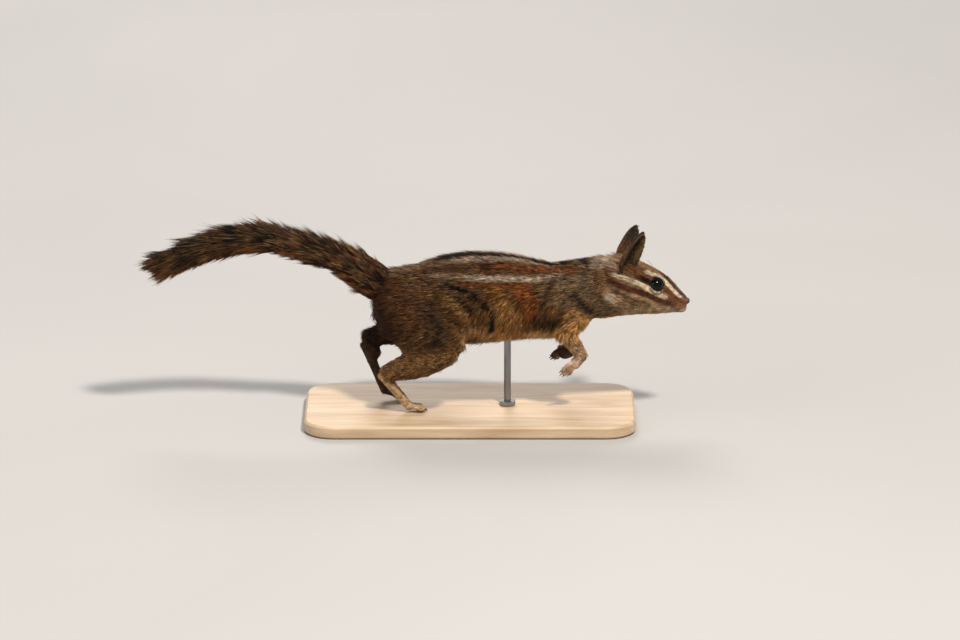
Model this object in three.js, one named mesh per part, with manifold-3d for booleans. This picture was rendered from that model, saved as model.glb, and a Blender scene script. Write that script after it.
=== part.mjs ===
// A life-size western chipmunk in mid-bound, hind toes on a plain display base, one rod to its belly.
// Millimetres. +X is the way the animal runs, +Y its left, +Z up.
// The origin is the centre of the underside of the base.
import * as THREE from "three";
import { mergeVertices } from "three/addons/utils/BufferGeometryUtils.js";
import Module from "manifold-3d";

const wasm = await Module();
wasm.setup();

// Clearance between nodes that touch, and the depth by which a fused piece is sunk into its neighbour.
const GAP = 0.3;
const SUNK = 1.2;

// The stand: a thin base with rounded corners, and one rod that stops at the belly.
const BASE = { length: 132, depth: 62, thickness: 5, corner: 12, bevel: 0.8 };
const ROD = { x: 15, radius: 1.4, collarRadius: 3.2, collarHeight: 1.6, sides: 20 };

// The trunk, rump to neck: back and belly are heights over the base's top, half is half the breadth.
const TRUNK = [
  { x: -30, back: 56.8, belly: 27.4, half: 14.8 },
  { x: -20, back: 58.6, belly: 25.8, half: 16.2 },
  { x: -11, back: 61.8, belly: 25.6, half: 17.1 },
  { x: 0, back: 63.4, belly: 26.2, half: 17.4 },
  { x: 9, back: 63.4, belly: 26.9, half: 17.2 },
  { x: 18, back: 62.4, belly: 27.7, half: 16.4 },
  { x: 26, back: 60.6, belly: 28.4, half: 15.2 },
  { x: 33, back: 59.2, belly: 28.3, half: 14.2 },
  { x: 38, back: 59.8, belly: 28.8, half: 13.4 },
  { x: 44, back: 61.1, belly: 31.4, half: 12.7 },
];
const RUMP_LENGTH = 8;
const TRUNK_FULLNESS = 2.2;
const BODY_SIDES = 24;

// The head in its own frame: x runs from behind the cheeks to the nose, top and bottom are heights.
const HEAD = {
  place: [54.8, 0, 49.4],
  pitch: 12,
  yaw: 3,
  stations: [
    { x: -1, top: 12.8, bottom: -13.9, half: 11.5, fullness: 2.15 },
    { x: 3, top: 13.5, bottom: -12.6, half: 11.6, fullness: 2.2 },
    { x: 7, top: 13.6, bottom: -11.1, half: 11.2, fullness: 2.25 },
    { x: 11, top: 13.1, bottom: -9.8, half: 10.3, fullness: 2.35 },
    { x: 15, top: 11.9, bottom: -8.7, half: 8.9, fullness: 2.5 },
    { x: 19.4, top: 10.4, bottom: -7.8, half: 7.4, fullness: 2.6 },
    { x: 23.5, top: 8.6, bottom: -6.9, half: 5.8, fullness: 2.4 },
    { x: 27, top: 6.3, bottom: -5.9, half: 4.6, fullness: 2.25 },
    { x: 30, top: 4.0, bottom: -5.2, half: 3.6, fullness: 2.2 },
    { x: 31.8, top: 2.8, bottom: -4.2, half: 2.8, fullness: 2.1 },
  ],
  tip: 33.3,
  widestShare: 0.45,
};
const EYE = { x: 18.3, y: 5.25, z: 5.7, radius: 3.0, outward: [0.24, 0.86, 0.46] };
const LID = { reach: 1.3, long: 3.05, tall: 2.7, thick: 0.55 };
const NOSE = { x: 32.3, z: 0.3, long: 1.5, wide: 1.75, tall: 1.4, nostril: 0.42, apart: 0.95 };
const MOUTH = { front: 33.5, back: 23.4, frontZ: -1.9, backZ: -4.6, height: 0.36, sag: 0.6 };
const WHISKER_PAD = { x: 27.6, y: 2.7, z: -1.0, long: 3.4, wide: 1.9, tall: 2.1 };
const EARS = {
  right: { root: [4.6, -8.4, 9.6], tip: [8.6, -8.6, 26.2], facing: [0.72, -0.68, 0], half: 4.3 },
  left: { root: [4.6, 8.4, 9.6], tip: [7.9, 10.2, 23.9], facing: [0.8, 0.6, 0], half: 3.6 },
};
const EAR = { cupAngle: 80, tipAngle: 40, thickness: 0.75, across: 7, along: 8, below: 0.22 };

// The tail: points of its line in the middle plane, and the sizes of its core and of its locks of hair.
const TAIL = {
  line: [
    [-32, 47.6], [-38, 51.6], [-44, 55.6], [-52, 60.2], [-60, 63.2], [-68, 65.8],
    [-76, 67.8], [-84, 68.4], [-92, 67.8], [-100, 66.2], [-108, 63.6], [-116, 60.4], [-124, 57.0], [-132, 53.8],
  ],
  rootRadius: 6.6,
  rootLength: 27,
  coreRadius: 2.7,
  tipRadius: 1.3,
  coreLength: 93,
  sides: 8,
  steps: 16,
};
const LOCKS = {
  firstAt: 12,
  spacing: 8.7,
  around: 6,
  length: 16,
  endLength: 13,
  shortest: 8.5,
  growOver: 22,
  halfWidth: 3.1,
  halfThick: 0.45,
  lift: 43,
  settle: 28,
  roll: 17,
  partings: [4, 8],
};

// Legs. Each line runs from the joint in the body to the joint at the paw: place, in-plane half, side half.
const RIGHT = -1;
const LEFT = 1;
const FORELEGS = {
  right: {
    side: RIGHT,
    shoulder: [42.6, 7.4, 43.0], elbow: [38.0, 10.6, 33.0], wrist: [44.6, 9.6, 23.8],
    knuckles: [42.0, 9.4, 19.8], fingertips: [37.4, 9.0, 15.4],
  },
  left: {
    side: LEFT,
    shoulder: [42.0, 7.4, 43.0], elbow: [37.0, 10.6, 31.8], wrist: [41.8, 9.6, 21.6],
    knuckles: [38.0, 9.6, 19.6], fingertips: [33.2, 9.4, 17.2],
  },
};
const HINDLEGS = {
  right: {
    side: RIGHT,
    hip: [-25, 10.6, 43.0], thigh: [-18, 13.0, 35.4], knee: [-9.8, 14.7, 28.0],
    calf: [-20, 13.8, 21.8], hock: [-32.6, 11.4, 16.8],
    heel: [-34.4, 11.2, 15.4], ball: [-24.6, 9.2, 2.3], toes: [-18.4, 8.6, 0.9],
  },
  left: {
    side: LEFT,
    hip: [-26, 10.4, 44.0], thigh: [-20, 12.6, 37.2], knee: [-11.5, 14.2, 29.4],
    calf: [-26, 12.0, 28.2], hock: [-40.6, 9.0, 26.2],
    heel: [-42.0, 8.6, 22.6], ball: [-34.4, 6.8, 4.0], toes: [-26.8, 6.0, 0.9],
  },
};
const UPPER_ARM = { top: [8.6, 5.4], bottom: [4.6, 3.8] };
const FOREARM = { top: [4.2, 3.8], middle: [3.7, 3.3], bottom: [2.8, 2.6] };
const THIGH = { top: [13.0, 7.4], middle: [12.8, 7.4], bottom: [7.6, 5.2] };
const SHANK = { top: [7.4, 5.0], middle: [6.6, 4.6], bottom: [3.7, 2.9] };
const METATARSUS = { heel: [2.3, 2.2], middle: [1.9, 2.2], ball: [1.7, 2.7] };
const HAND = { wrist: [2.4, 2.3], palm: [1.6, 2.5], digits: 4, spread: 4.4, toeRadius: 0.78 };
const FOOT = { digits: 5, spread: 5.2, toeRadius: 0.86 };
const CLAW = { length: 1.9, radius: 0.36, droop: 0.5 };
const LEG_SIDES = 12;

const COLOURS = {
  coat: 0x7a5a3c, tail: 0x4a3626, eye: 0x070605, nose: 0x5a3a2c,
  ear: 0x4b3a30, paw: 0x9c8462, stand: 0xc9b79a, rod: 0x8f9194,
};

// Small maths helpers.
const vec = (x, y, z) => new THREE.Vector3(x, y, z);
const radians = THREE.MathUtils.degToRad;
const lerp = THREE.MathUtils.lerp;
const clamp = THREE.MathUtils.clamp;
const count = (n) => Array.from({ length: n }, (_, i) => i);
const mirrored = ([x, y, z], side) => vec(x, y * side, z);

// Repeatable random numbers between 0 and 1.
let seed = 7;
function random() {
  seed = (seed * 16807) % 2147483647;
  return seed / 2147483647;
}

// A value between stations, on a smooth curve that passes through each of them.
function along(stations, key, x) {
  const last = stations.length - 1;
  let i = 0;
  while (i < last - 1 && x > stations[i + 1].x) i += 1;
  const slope = (k) => {
    const a = stations[Math.max(k - 1, 0)];
    const b = stations[Math.min(k + 1, last)];
    return (b[key] - a[key]) / (b.x - a.x);
  };
  const span = stations[i + 1].x - stations[i].x;
  const t = clamp((x - stations[i].x) / span, 0, 1);
  const rise = t * t * (3 - 2 * t);
  const leave = t * (1 - t) * (1 - t) * span * slope(i);
  const arrive = t * t * (t - 1) * span * slope(i + 1);
  return lerp(stations[i][key], stations[i + 1][key], rise) + leave + arrive;
}

// One oval section as a ring of points. fullness 2 is an ellipse, and more is boxier.
function oval({ centre, across, upward, half, up, down, fullness, sides }) {
  return count(sides).map((j) => {
    const angle = (2 * Math.PI * (j + 0.5)) / sides;
    const c = Math.cos(angle);
    const s = Math.sin(angle);
    const wide = Math.sign(c) * Math.abs(c) ** (2 / fullness) * half;
    const high = Math.sign(s) * Math.abs(s) ** (2 / fullness) * (s > 0 ? up : down);
    return centre.clone().addScaledVector(across, wide).addScaledVector(upward, high);
  });
}

// A closed geometry from shared vertices and triangles.
function geometryFrom(points, triangles) {
  const geometry = new THREE.BufferGeometry().setFromPoints(points);
  geometry.setIndex(triangles);
  return geometry;
}

// Rings of equal count joined into one closed skin, with a fan over each end.
function loft(rings) {
  const sides = rings[0].length;
  const middle = (ring) => ring.reduce((sum, p) => sum.add(p), vec(0, 0, 0)).divideScalar(sides);
  const points = [...rings.flat(), middle(rings[0]), middle(rings[rings.length - 1])];
  const first = rings.length * sides;
  const triangles = [];
  for (let i = 0; i < rings.length - 1; i += 1) {
    for (let j = 0; j < sides; j += 1) {
      const a = i * sides + j;
      const b = i * sides + ((j + 1) % sides);
      triangles.push(a, b, b + sides, a, b + sides, a + sides);
    }
  }
  for (let j = 0; j < sides; j += 1) {
    const next = (j + 1) % sides;
    const end = first - sides;
    triangles.push(first, next, j, first + 1, end + j, end + next);
  }
  return geometryFrom(points, triangles);
}

// A closed geometry as a solid that faces out.
function solidOf(geometry) {
  const bare = geometry.clone();
  bare.deleteAttribute("normal");
  bare.deleteAttribute("uv");
  const merged = mergeVertices(bare, 1e-4);
  const vertProperties = merged.attributes.position.array;
  const triVerts = new Uint32Array(merged.index.array);
  const made = new wasm.Manifold(new wasm.Mesh({ numProp: 3, vertProperties, triVerts }));
  if (made.volume() > 0) return made;
  const turned = triVerts.map((_, i) => triVerts[i % 3 === 1 ? i + 1 : i % 3 === 2 ? i - 1 : i]);
  return new wasm.Manifold(new wasm.Mesh({ numProp: 3, vertProperties, triVerts: turned }));
}

// The largest closed surface of a solid, as a geometry.
function geometryOf(solid) {
  const largest = solid.decompose().sort((a, b) => b.volume() - a.volume())[0];
  const { numProp, vertProperties, triVerts } = largest.getMesh();
  const points = count(vertProperties.length / numProp).map((i) =>
    vec(...vertProperties.subarray(i * numProp, i * numProp + 3)),
  );
  return geometryFrom(points, Array.from(triVerts));
}

const join = (solids) => solids.reduce((sum, s) => sum.add(s));

// An ellipsoid with its axes along x, y and z.
function ellipsoid(centre, long, wide, tall, segments = 12) {
  const shape = new THREE.SphereGeometry(1, segments, Math.round(segments * 0.7));
  shape.rotateX(Math.PI / 2);
  return solidOf(shape.scale(long, wide, tall).translate(centre.x, centre.y, centre.z));
}

// A limb of oval section along a curve, with round ends. sizes holds [in-plane half, side half] pairs.
function limb(places, sizes, { sides = LEG_SIDES, steps = 6, grow = 0, cap = [0.35, 0.8] } = {}) {
  const line = new THREE.CatmullRomCurve3(places, false, "catmullrom", 0.5);
  const size = new THREE.CatmullRomCurve3(sizes.map(([a, b]) => vec(a, b, 0)));
  const ring = (t, scale, shift) => {
    const ahead = line.getTangent(t);
    const across = vec(0, 1, 0).addScaledVector(ahead, -ahead.y).normalize();
    const upward = vec(0, 0, 0).crossVectors(ahead, across);
    const { x: tall, y: wide } = size.getPoint(t);
    const centre = line.getPoint(t).addScaledVector(ahead, shift * Math.min(tall, wide));
    const [up, half] = [(tall + grow) * scale, (wide + grow) * scale];
    return oval({ centre, across, upward, half, up, down: up, fullness: 2, sides });
  };
  const start = cap.map((s) => ring(0, s, -Math.sqrt(1 - s * s)));
  const end = cap.map((s) => ring(1, s, Math.sqrt(1 - s * s))).reverse();
  return solidOf(loft([...start, ...count(steps + 1).map((i) => ring(i / steps, 1, 0)), ...end]));
}

// A ring of the trunk at x. Behind the last station it closes in a round rump.
function trunkRing(x, grow = 0) {
  const rear = TRUNK[0].x;
  const past = clamp((rear - x) / (RUMP_LENGTH + grow), 0, 0.998);
  const close = Math.sqrt(1 - past * past);
  const back = along(TRUNK, "back", x);
  const belly = along(TRUNK, "belly", x);
  const middle = lerp(belly, back, 0.47);
  return oval({
    centre: vec(x, 0, middle),
    across: vec(0, 1, 0),
    upward: vec(0, 0, 1),
    half: (along(TRUNK, "half", x) + grow) * close,
    up: (back - middle + grow) * close,
    down: (middle - belly + grow) * close,
    fullness: TRUNK_FULLNESS,
    sides: BODY_SIDES,
  });
}

function trunk(grow = 0) {
  const rear = TRUNK[0].x;
  const front = TRUNK[TRUNK.length - 1].x + grow;
  const rumpRings = 4;
  const bodyRings = 15;
  const rump = count(rumpRings).map((i) => {
    const angle = (Math.PI / 2) * (1 - i / rumpRings);
    return rear - (RUMP_LENGTH + grow) * Math.sin(angle);
  });
  const body = count(bodyRings + 1).map((i) => lerp(rear, front, i / bodyRings));
  return solidOf(loft([...rump, ...body].map((x) => trunkRing(x, grow))));
}

// A ring of the head at x, in the head's own frame. Past the last station it closes to the nose.
function headRing(x, grow = 0) {
  const stations = HEAD.stations;
  const front = stations[stations.length - 1].x;
  const past = clamp((x - front) / (HEAD.tip + grow - front), 0, 0.995);
  const close = Math.sqrt(1 - past * past);
  const top = along(stations, "top", x);
  const bottom = along(stations, "bottom", x);
  const middle = lerp(bottom, top, HEAD.widestShare);
  return oval({
    centre: vec(x, 0, middle),
    across: vec(0, 1, 0),
    upward: vec(0, 0, 1),
    half: (along(stations, "half", x) + grow) * close,
    up: (top - middle + grow) * close,
    down: (middle - bottom + grow) * close,
    fullness: along(stations, "fullness", x),
    sides: BODY_SIDES,
  });
}

function skull(grow = 0) {
  const stations = HEAD.stations;
  const back = stations[0].x - grow;
  const front = stations[stations.length - 1].x;
  const faceRings = 17;
  const tipRings = 3;
  const face = count(faceRings).map((i) => lerp(back, front, i / faceRings));
  const tip = count(tipRings + 1).map((i) => {
    const angle = (Math.PI / 2) * (i / tipRings);
    return front + (HEAD.tip + grow - front) * Math.sin(angle);
  });
  return solidOf(loft([...face, ...tip].map((x) => headRing(x, grow))));
}

// The head's frame in the body's frame.
function headMatrix() {
  const turn = new THREE.Euler(0, radians(HEAD.pitch), radians(HEAD.yaw), "ZYX");
  const matrix = new THREE.Matrix4().makeRotationFromEuler(turn);
  return matrix.setPosition(...HEAD.place);
}

// The neck: each point of the trunk's last ring is led on a curve to its point on the head's first ring.
function neck(grow = 0) {
  const matrix = headMatrix();
  const ahead = vec(1, 0, 0).transformDirection(matrix);
  const rearX = TRUNK[TRUNK.length - 1].x;
  const rear = trunkRing(rearX, grow).map((p) => p.setX(rearX + GAP - grow));
  const frontX = HEAD.stations[0].x;
  const front = headRing(frontX, grow).map((p) => p.setX(frontX - GAP + grow).applyMatrix4(matrix));
  const steps = 7;
  const rings = count(steps + 1).map((i) => {
    const t = i / steps;
    return rear.map((a, j) => {
      const b = front[j];
      const reach = a.distanceTo(b);
      const rise = t * t * (3 - 2 * t);
      return a.clone().lerp(b, rise)
        .addScaledVector(vec(1, 0, 0), t * (1 - t) * (1 - t) * reach)
        .addScaledVector(ahead, t * t * (t - 1) * reach);
    });
  });
  return solidOf(loft(rings));
}

// One eyelid rim: a closed ring that lies round the eye where it leaves the head.
function lid(side) {
  const outward = mirrored(EYE.outward, side).normalize();
  const long = vec(1, 0, -0.34).addScaledVector(outward, -vec(1, 0, -0.34).dot(outward)).normalize();
  const tall = vec(0, 0, 0).crossVectors(outward, long);
  const matrix = new THREE.Matrix4().makeBasis(long, tall, outward);
  const centre = mirrored([EYE.x, EYE.y, EYE.z], side).addScaledVector(outward, LID.reach);
  const rim = new THREE.TorusGeometry(1, LID.thick / LID.tall, 5, 16).scale(LID.long, LID.tall, LID.tall);
  return solidOf(rim.applyMatrix4(matrix.setPosition(centre)));
}

// The gap between the lips: a thin curved blade across the muzzle.
function mouthGap() {
  const steps = 6;
  const line = (t, offset) => {
    const x = lerp(MOUTH.front, MOUTH.back, t);
    const z = lerp(MOUTH.frontZ, MOUTH.backZ, t) - MOUTH.sag * Math.sin(Math.PI * t) + offset;
    return new THREE.Vector2(x, z);
  };
  const upper = count(steps + 1).map((i) => line(i / steps, MOUTH.height * (0.5 + 0.6 * (1 - i / steps))));
  const lower = count(steps + 1).map((i) => line(i / steps, -MOUTH.height / 2)).reverse();
  const blade = new THREE.ExtrudeGeometry(new THREE.Shape([...upper, ...lower]), { depth: 16, bevelEnabled: false });
  return solidOf(blade.rotateX(Math.PI / 2).translate(0, 8, 0));
}

const eyeBall = (side, grow = 0) => {
  const r = EYE.radius + grow;
  return ellipsoid(mirrored([EYE.x, EYE.y, EYE.z], side), r, r, r, 14);
};
const nosePad = (grow = 0) =>
  ellipsoid(vec(NOSE.x, 0, NOSE.z), NOSE.long + grow, NOSE.wide + grow, NOSE.tall + grow);

// Head with whisker pads, lids, eye sockets and mouth.
function head() {
  const sides = [RIGHT, LEFT];
  const put = (form, side) => ellipsoid(mirrored([form.x, form.y, form.z], side), form.long, form.wide, form.tall);
  const added = sides.flatMap((side) => [put(WHISKER_PAD, side), lid(side)]);
  const behind = new THREE.BoxGeometry(40, 60, 60).translate(HEAD.stations[0].x - 20, 0, 0);
  const cut = [...sides.map((side) => eyeBall(side, GAP)), nosePad(GAP), mouthGap(), solidOf(behind)];
  return join([skull(), ...added]).subtract(join(cut));
}

// Nose pad with two nostrils.
function nose() {
  const pits = [RIGHT, LEFT].map((side) =>
    ellipsoid(vec(NOSE.x + NOSE.long * 0.8, NOSE.apart * side, NOSE.z - 0.1), 0.8, NOSE.nostril, NOSE.nostril * 1.2, 8),
  );
  return nosePad().subtract(join(pits));
}

// One ear: a cupped leaf with an inner and an outer face of the same triangles.
function ear(places) {
  const root = vec(...places.root);
  const upward = vec(...places.tip).sub(root);
  const height = upward.length();
  upward.normalize();
  const facing = vec(...places.facing);
  facing.addScaledVector(upward, -facing.dot(upward)).normalize();
  const across = vec(0, 0, 0).crossVectors(upward, facing);
  const leaf = (u, v, shell) => {
    const outline = Math.sqrt(Math.max(0.02, 1 - Math.abs((v - 0.3) / 0.7) ** 2.4));
    const width = places.half * (v < 0.3 ? 1 - 0.55 * ((0.3 - v) / 0.3) ** 2 : outline);
    const bend = radians(lerp(EAR.cupAngle, EAR.tipAngle, v));
    const radius = width / Math.sin(bend) + shell;
    const rise = v * height * (1 - 0.05 * u * u);
    return root.clone()
      .addScaledVector(upward, rise)
      .addScaledVector(across, radius * Math.sin(u * bend))
      .addScaledVector(facing, (width / Math.sin(bend)) * Math.cos(bend * 0.9) - radius * Math.cos(u * bend));
  };
  const columns = EAR.across;
  const rows = EAR.along;
  const face = (shell) =>
    count(rows + 1).flatMap((i) =>
      count(columns + 1).map((j) => leaf((2 * j) / columns - 1, lerp(-EAR.below, 1, i / rows), shell)),
    );
  const points = [...face(0), ...face(EAR.thickness)];
  const per = (rows + 1) * (columns + 1);
  const triangles = [];
  const quad = (a, b, c, d) => triangles.push(a, b, c, a, c, d);
  for (let i = 0; i < rows; i += 1) {
    for (let j = 0; j < columns; j += 1) {
      const a = i * (columns + 1) + j;
      const d = a + columns + 1;
      quad(a, a + 1, d + 1, d);
      triangles.push(per + a, per + d + 1, per + a + 1, per + a, per + d, per + d + 1);
    }
  }
  for (let i = 0; i < rows; i += 1) {
    const a = i * (columns + 1);
    const b = a + columns;
    quad(a, a + columns + 1, per + a + columns + 1, per + a);
    quad(b, per + b, per + b + columns + 1, b + columns + 1);
  }
  for (let j = 0; j < columns; j += 1) {
    const top = rows * (columns + 1) + j;
    quad(j, per + j, per + j + 1, j + 1);
    quad(top, top + 1, per + top + 1, per + top);
  }
  return solidOf(geometryFrom(points, triangles));
}

// A round tapered rod along points, for a toe or a finger.
function digit(places, radius, tip) {
  const sizes = places.map((_, i) => {
    const r = lerp(radius, tip, i / (places.length - 1));
    return [r, r];
  });
  return limb(places, sizes, { sides: 6, steps: 2, cap: [0.6] });
}

// A claw: a bent cone that starts inside the end of a digit.
function claw(from, ahead) {
  const steps = 2;
  const across = vec(-ahead.y, ahead.x, 0).normalize();
  const upward = vec(0, 0, 0).crossVectors(across, ahead);
  const rings = count(steps + 1).map((i) => {
    const t = i / steps;
    const centre = from.clone()
      .addScaledVector(ahead, t * CLAW.length - 0.5)
      .addScaledVector(upward, -CLAW.droop * t * t);
    const size = lerp(CLAW.radius, 0.07, t);
    return oval({ centre, across, upward, half: size, up: size, down: size, fullness: 2, sides: 4 });
  });
  return solidOf(loft(rings));
}

// Digits with claws, fanned out from a row of knuckles to a row of tips.
function digits(knuckles, tips, { digits: number, spread, toeRadius }, arch) {
  const ahead = tips.clone().sub(knuckles).normalize();
  const across = vec(-ahead.y, ahead.x, 0).normalize();
  return count(number).flatMap((i) => {
    const share = (2 * i) / (number - 1) - 1;
    const shorter = 1 - 0.2 * share * share;
    const root = knuckles.clone().addScaledVector(across, share * spread * 0.36);
    const tip = knuckles.clone().lerp(tips, shorter).addScaledVector(across, share * spread * 0.62);
    const bend = root.clone().lerp(tip, 0.5).add(vec(0, 0, arch));
    const end = tip.clone().sub(bend).normalize();
    const finish = vec(end.x, end.y, Math.max(end.z, -0.35)).normalize();
    return [digit([root, bend, tip], toeRadius, toeRadius * 0.82), claw(tip, finish)];
  });
}

function foreleg(leg, grow = 0) {
  const at = (name) => mirrored(leg[name], leg.side);
  const middle = at("elbow").lerp(at("wrist"), 0.5);
  const upper = limb([at("shoulder"), at("elbow")], [UPPER_ARM.top, UPPER_ARM.bottom], { grow });
  const sizes = [FOREARM.top, FOREARM.middle, FOREARM.bottom];
  return upper.add(limb([at("elbow"), middle, at("wrist")], sizes, { grow }));
}

function forepaw(leg, arch) {
  const at = (name) => mirrored(leg[name], leg.side);
  const palm = limb([at("wrist"), at("knuckles")], [HAND.wrist, HAND.palm], { sides: 10, steps: 3 });
  return join([palm, ...digits(at("knuckles"), at("fingertips"), HAND, arch)]);
}

function hindleg(leg, grow = 0) {
  const at = (name) => mirrored(leg[name], leg.side);
  const thighSizes = [THIGH.top, THIGH.middle, THIGH.bottom];
  const shankSizes = [SHANK.top, SHANK.middle, SHANK.bottom];
  const thigh = limb([at("hip"), at("thigh"), at("knee")], thighSizes, { sides: 18, grow });
  const shank = limb([at("knee"), at("calf"), at("hock")], shankSizes, { sides: 16, grow });
  return thigh.add(shank);
}

function hindfoot(leg) {
  const at = (name) => mirrored(leg[name], leg.side);
  const middle = at("heel").lerp(at("ball"), 0.5);
  const sizes = [METATARSUS.heel, METATARSUS.middle, METATARSUS.ball];
  const sole = limb([at("heel"), middle, at("ball")], sizes, { sides: 10, steps: 3 });
  const tips = at("toes").setZ(FOOT.toeRadius + GAP);
  const floor = new THREE.BoxGeometry(200, 120, 20).translate(0, 0, GAP - 10);
  return join([sole, ...digits(at("ball"), tips, FOOT, 0.35)]).subtract(solidOf(floor));
}

// The tail's line, and a frame on it: tangent, up and side.
const tailLine = new THREE.CatmullRomCurve3(TAIL.line.map(([x, z]) => vec(x, 0, z)), false, "centripetal");
const LINE_LENGTH = tailLine.getLength();
function tailFrame(distance) {
  const t = clamp(distance / LINE_LENGTH, 0, 1);
  const ahead = tailLine.getTangentAt(t);
  const across = vec(0, 1, 0);
  const upward = vec(0, 0, 0).crossVectors(across, ahead);
  return { centre: tailLine.getPointAt(t), ahead, across, upward };
}
function coreRadius(distance) {
  const fade = clamp(distance / TAIL.rootLength, 0, 1);
  const slim = lerp(TAIL.coreRadius, TAIL.tipRadius, distance / TAIL.coreLength);
  return lerp(TAIL.rootRadius, slim, fade * fade * (3 - 2 * fade));
}

// The bare core, with a round end. The last locks reach past it.
function tailCore() {
  const rings = count(TAIL.steps + 1).map((i) => {
    const distance = (TAIL.coreLength * i) / TAIL.steps;
    const { centre, across, upward } = tailFrame(distance);
    const close = Math.sqrt(clamp((TAIL.coreLength - distance) / TAIL.tipRadius + 0.1, 0, 1));
    const size = coreRadius(distance) * close;
    return oval({ centre, across, upward, half: size, up: size, down: size, fullness: 2, sides: TAIL.sides });
  });
  return solidOf(loft(rings));
}

// One flat tapered lock that leaves the core at angle and bends back along the tail. It is rolled a little,
// so that one edge lies over its neighbour and the other under the next.
function lock(distance, angle, length, halfWidth, lift) {
  const shares = [0, 0.36, 0.72];
  const widths = [0.3, 1, 0.8];
  const { centre, ahead, across, upward } = tailFrame(distance);
  const out = upward.clone().multiplyScalar(Math.cos(angle)).addScaledVector(across, Math.sin(angle));
  const side = vec(0, 0, 0).crossVectors(ahead, out);
  const place = centre.addScaledVector(out, coreRadius(distance) - SUNK);
  const roll = radians(LOCKS.roll);
  const points = [];
  [...shares, 1].forEach((share, i) => {
    const here = tailFrame(distance + length * share).ahead;
    const slope = radians(lift - LOCKS.settle * share);
    const way = here.clone().multiplyScalar(Math.cos(slope)).addScaledVector(out, Math.sin(slope));
    if (i > 0) place.addScaledVector(way, (share - shares[i - 1]) * length);
    if (share === 1) return;
    const face = vec(0, 0, 0).crossVectors(side, way).normalize();
    const broad = side.clone().multiplyScalar(Math.cos(roll)).addScaledVector(face, Math.sin(roll));
    const thin = face.clone().multiplyScalar(Math.cos(roll)).addScaledVector(side, -Math.sin(roll));
    const half = halfWidth * widths[i];
    const flat = LOCKS.halfThick * (1 - 0.4 * share);
    [[broad, half], [thin, flat], [broad, -half], [thin, -flat]].forEach(([way4, size]) => {
      points.push(place.clone().addScaledVector(way4, size));
    });
  });
  points.push(place.clone());
  const tip = 4 * shares.length;
  const triangles = [0, 2, 1, 0, 3, 2];
  for (let j = 0; j < 4; j += 1) {
    const next = (j + 1) % 4;
    for (let i = 0; i < tip - 4; i += 4) {
      triangles.push(i + j, i + next, i + next + 4, i + j, i + next + 4, i + j + 4);
    }
    triangles.push(tip - 4 + j, tip - 4 + next, tip);
  }
  return solidOf(geometryFrom(points, triangles));
}

// Rows of locks from the root of the tail to its tip, each row set between those of the row before.
function tailLocks() {
  const rows = Math.floor((TAIL.coreLength - LOCKS.firstAt) / LOCKS.spacing) + 1;
  return count(rows).flatMap((row) => {
    const distance = LOCKS.firstAt + row * LOCKS.spacing;
    const grown = clamp((distance - LOCKS.firstAt) / LOCKS.growOver, 0, 1);
    const last = row === rows - 1;
    return count(LOCKS.around).map((i) => {
      const angle = (2 * Math.PI * (i + (row % 2) / 2 + 0.06 * (random() - 0.5))) / LOCKS.around;
      const longest = last ? LOCKS.endLength : LOCKS.length;
      const length = lerp(LOCKS.shortest, longest, grown) * lerp(0.85, 1.12, random());
      const lift = LOCKS.lift * lerp(0.62, 1, grown) * lerp(0.97, 1.03, random()) * (last ? 0.85 : 1);
      return lock(distance, angle, length, LOCKS.halfWidth * lerp(0.85, 1, grown), lift);
    });
  });
}

// A cutter that opens along the lie of the locks, between one row and the next.
function parting(row, grow) {
  const distance = LOCKS.firstAt + (row - 0.8) * LOCKS.spacing;
  const { centre, ahead, across, upward } = tailFrame(distance);
  const steps = 6;
  const reach = 20;
  const profile = [new THREE.Vector2(0, -grow)];
  for (let i = 1; i <= steps; i += 1) {
    const slope = radians(LOCKS.lift - LOCKS.settle * (i / steps));
    const before = profile[i - 1];
    const step = reach / steps;
    profile.push(new THREE.Vector2(before.x + Math.sin(slope) * step, before.y + Math.cos(slope) * step));
  }
  profile[0].y -= grow;
  profile.push(new THREE.Vector2(30, 30), new THREE.Vector2(30, 160), new THREE.Vector2(0, 160));
  const cone = new THREE.LatheGeometry(profile, 20);
  const matrix = new THREE.Matrix4().makeBasis(upward, ahead, across).setPosition(centre);
  return solidOf(cone.applyMatrix4(matrix));
}

// Stand: the base with rounded corners, and the rod with its collar, up to just under the belly.
function standBase() {
  const halfLength = BASE.length / 2 - BASE.bevel;
  const halfDepth = BASE.depth / 2 - BASE.bevel;
  const r = BASE.corner - BASE.bevel;
  const outline = new THREE.Shape();
  outline.absarc(halfLength - r, halfDepth - r, r, 0, Math.PI / 2);
  outline.absarc(r - halfLength, halfDepth - r, r, Math.PI / 2, Math.PI);
  outline.absarc(r - halfLength, r - halfDepth, r, Math.PI, 1.5 * Math.PI);
  outline.absarc(halfLength - r, r - halfDepth, r, 1.5 * Math.PI, 2 * Math.PI);
  const bevel = { bevelSize: BASE.bevel, bevelThickness: BASE.bevel, bevelSegments: 1 };
  const plate = new THREE.ExtrudeGeometry(outline, { depth: BASE.thickness - 2 * BASE.bevel, curveSegments: 5, ...bevel });
  return solidOf(plate.translate(0, 0, BASE.bevel));
}
function standRod(bellySolid) {
  const height = 40;
  const rod = new THREE.CylinderGeometry(ROD.radius, ROD.radius, height, ROD.sides).rotateX(Math.PI / 2);
  const collar = new THREE.CylinderGeometry(ROD.collarRadius, ROD.collarRadius, ROD.collarHeight, ROD.sides);
  rod.translate(ROD.x, 0, GAP + height / 2);
  collar.rotateX(Math.PI / 2).translate(ROD.x, 0, GAP + ROD.collarHeight / 2);
  return join([solidOf(rod), solidOf(collar)]).subtract(bellySolid);
}

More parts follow.
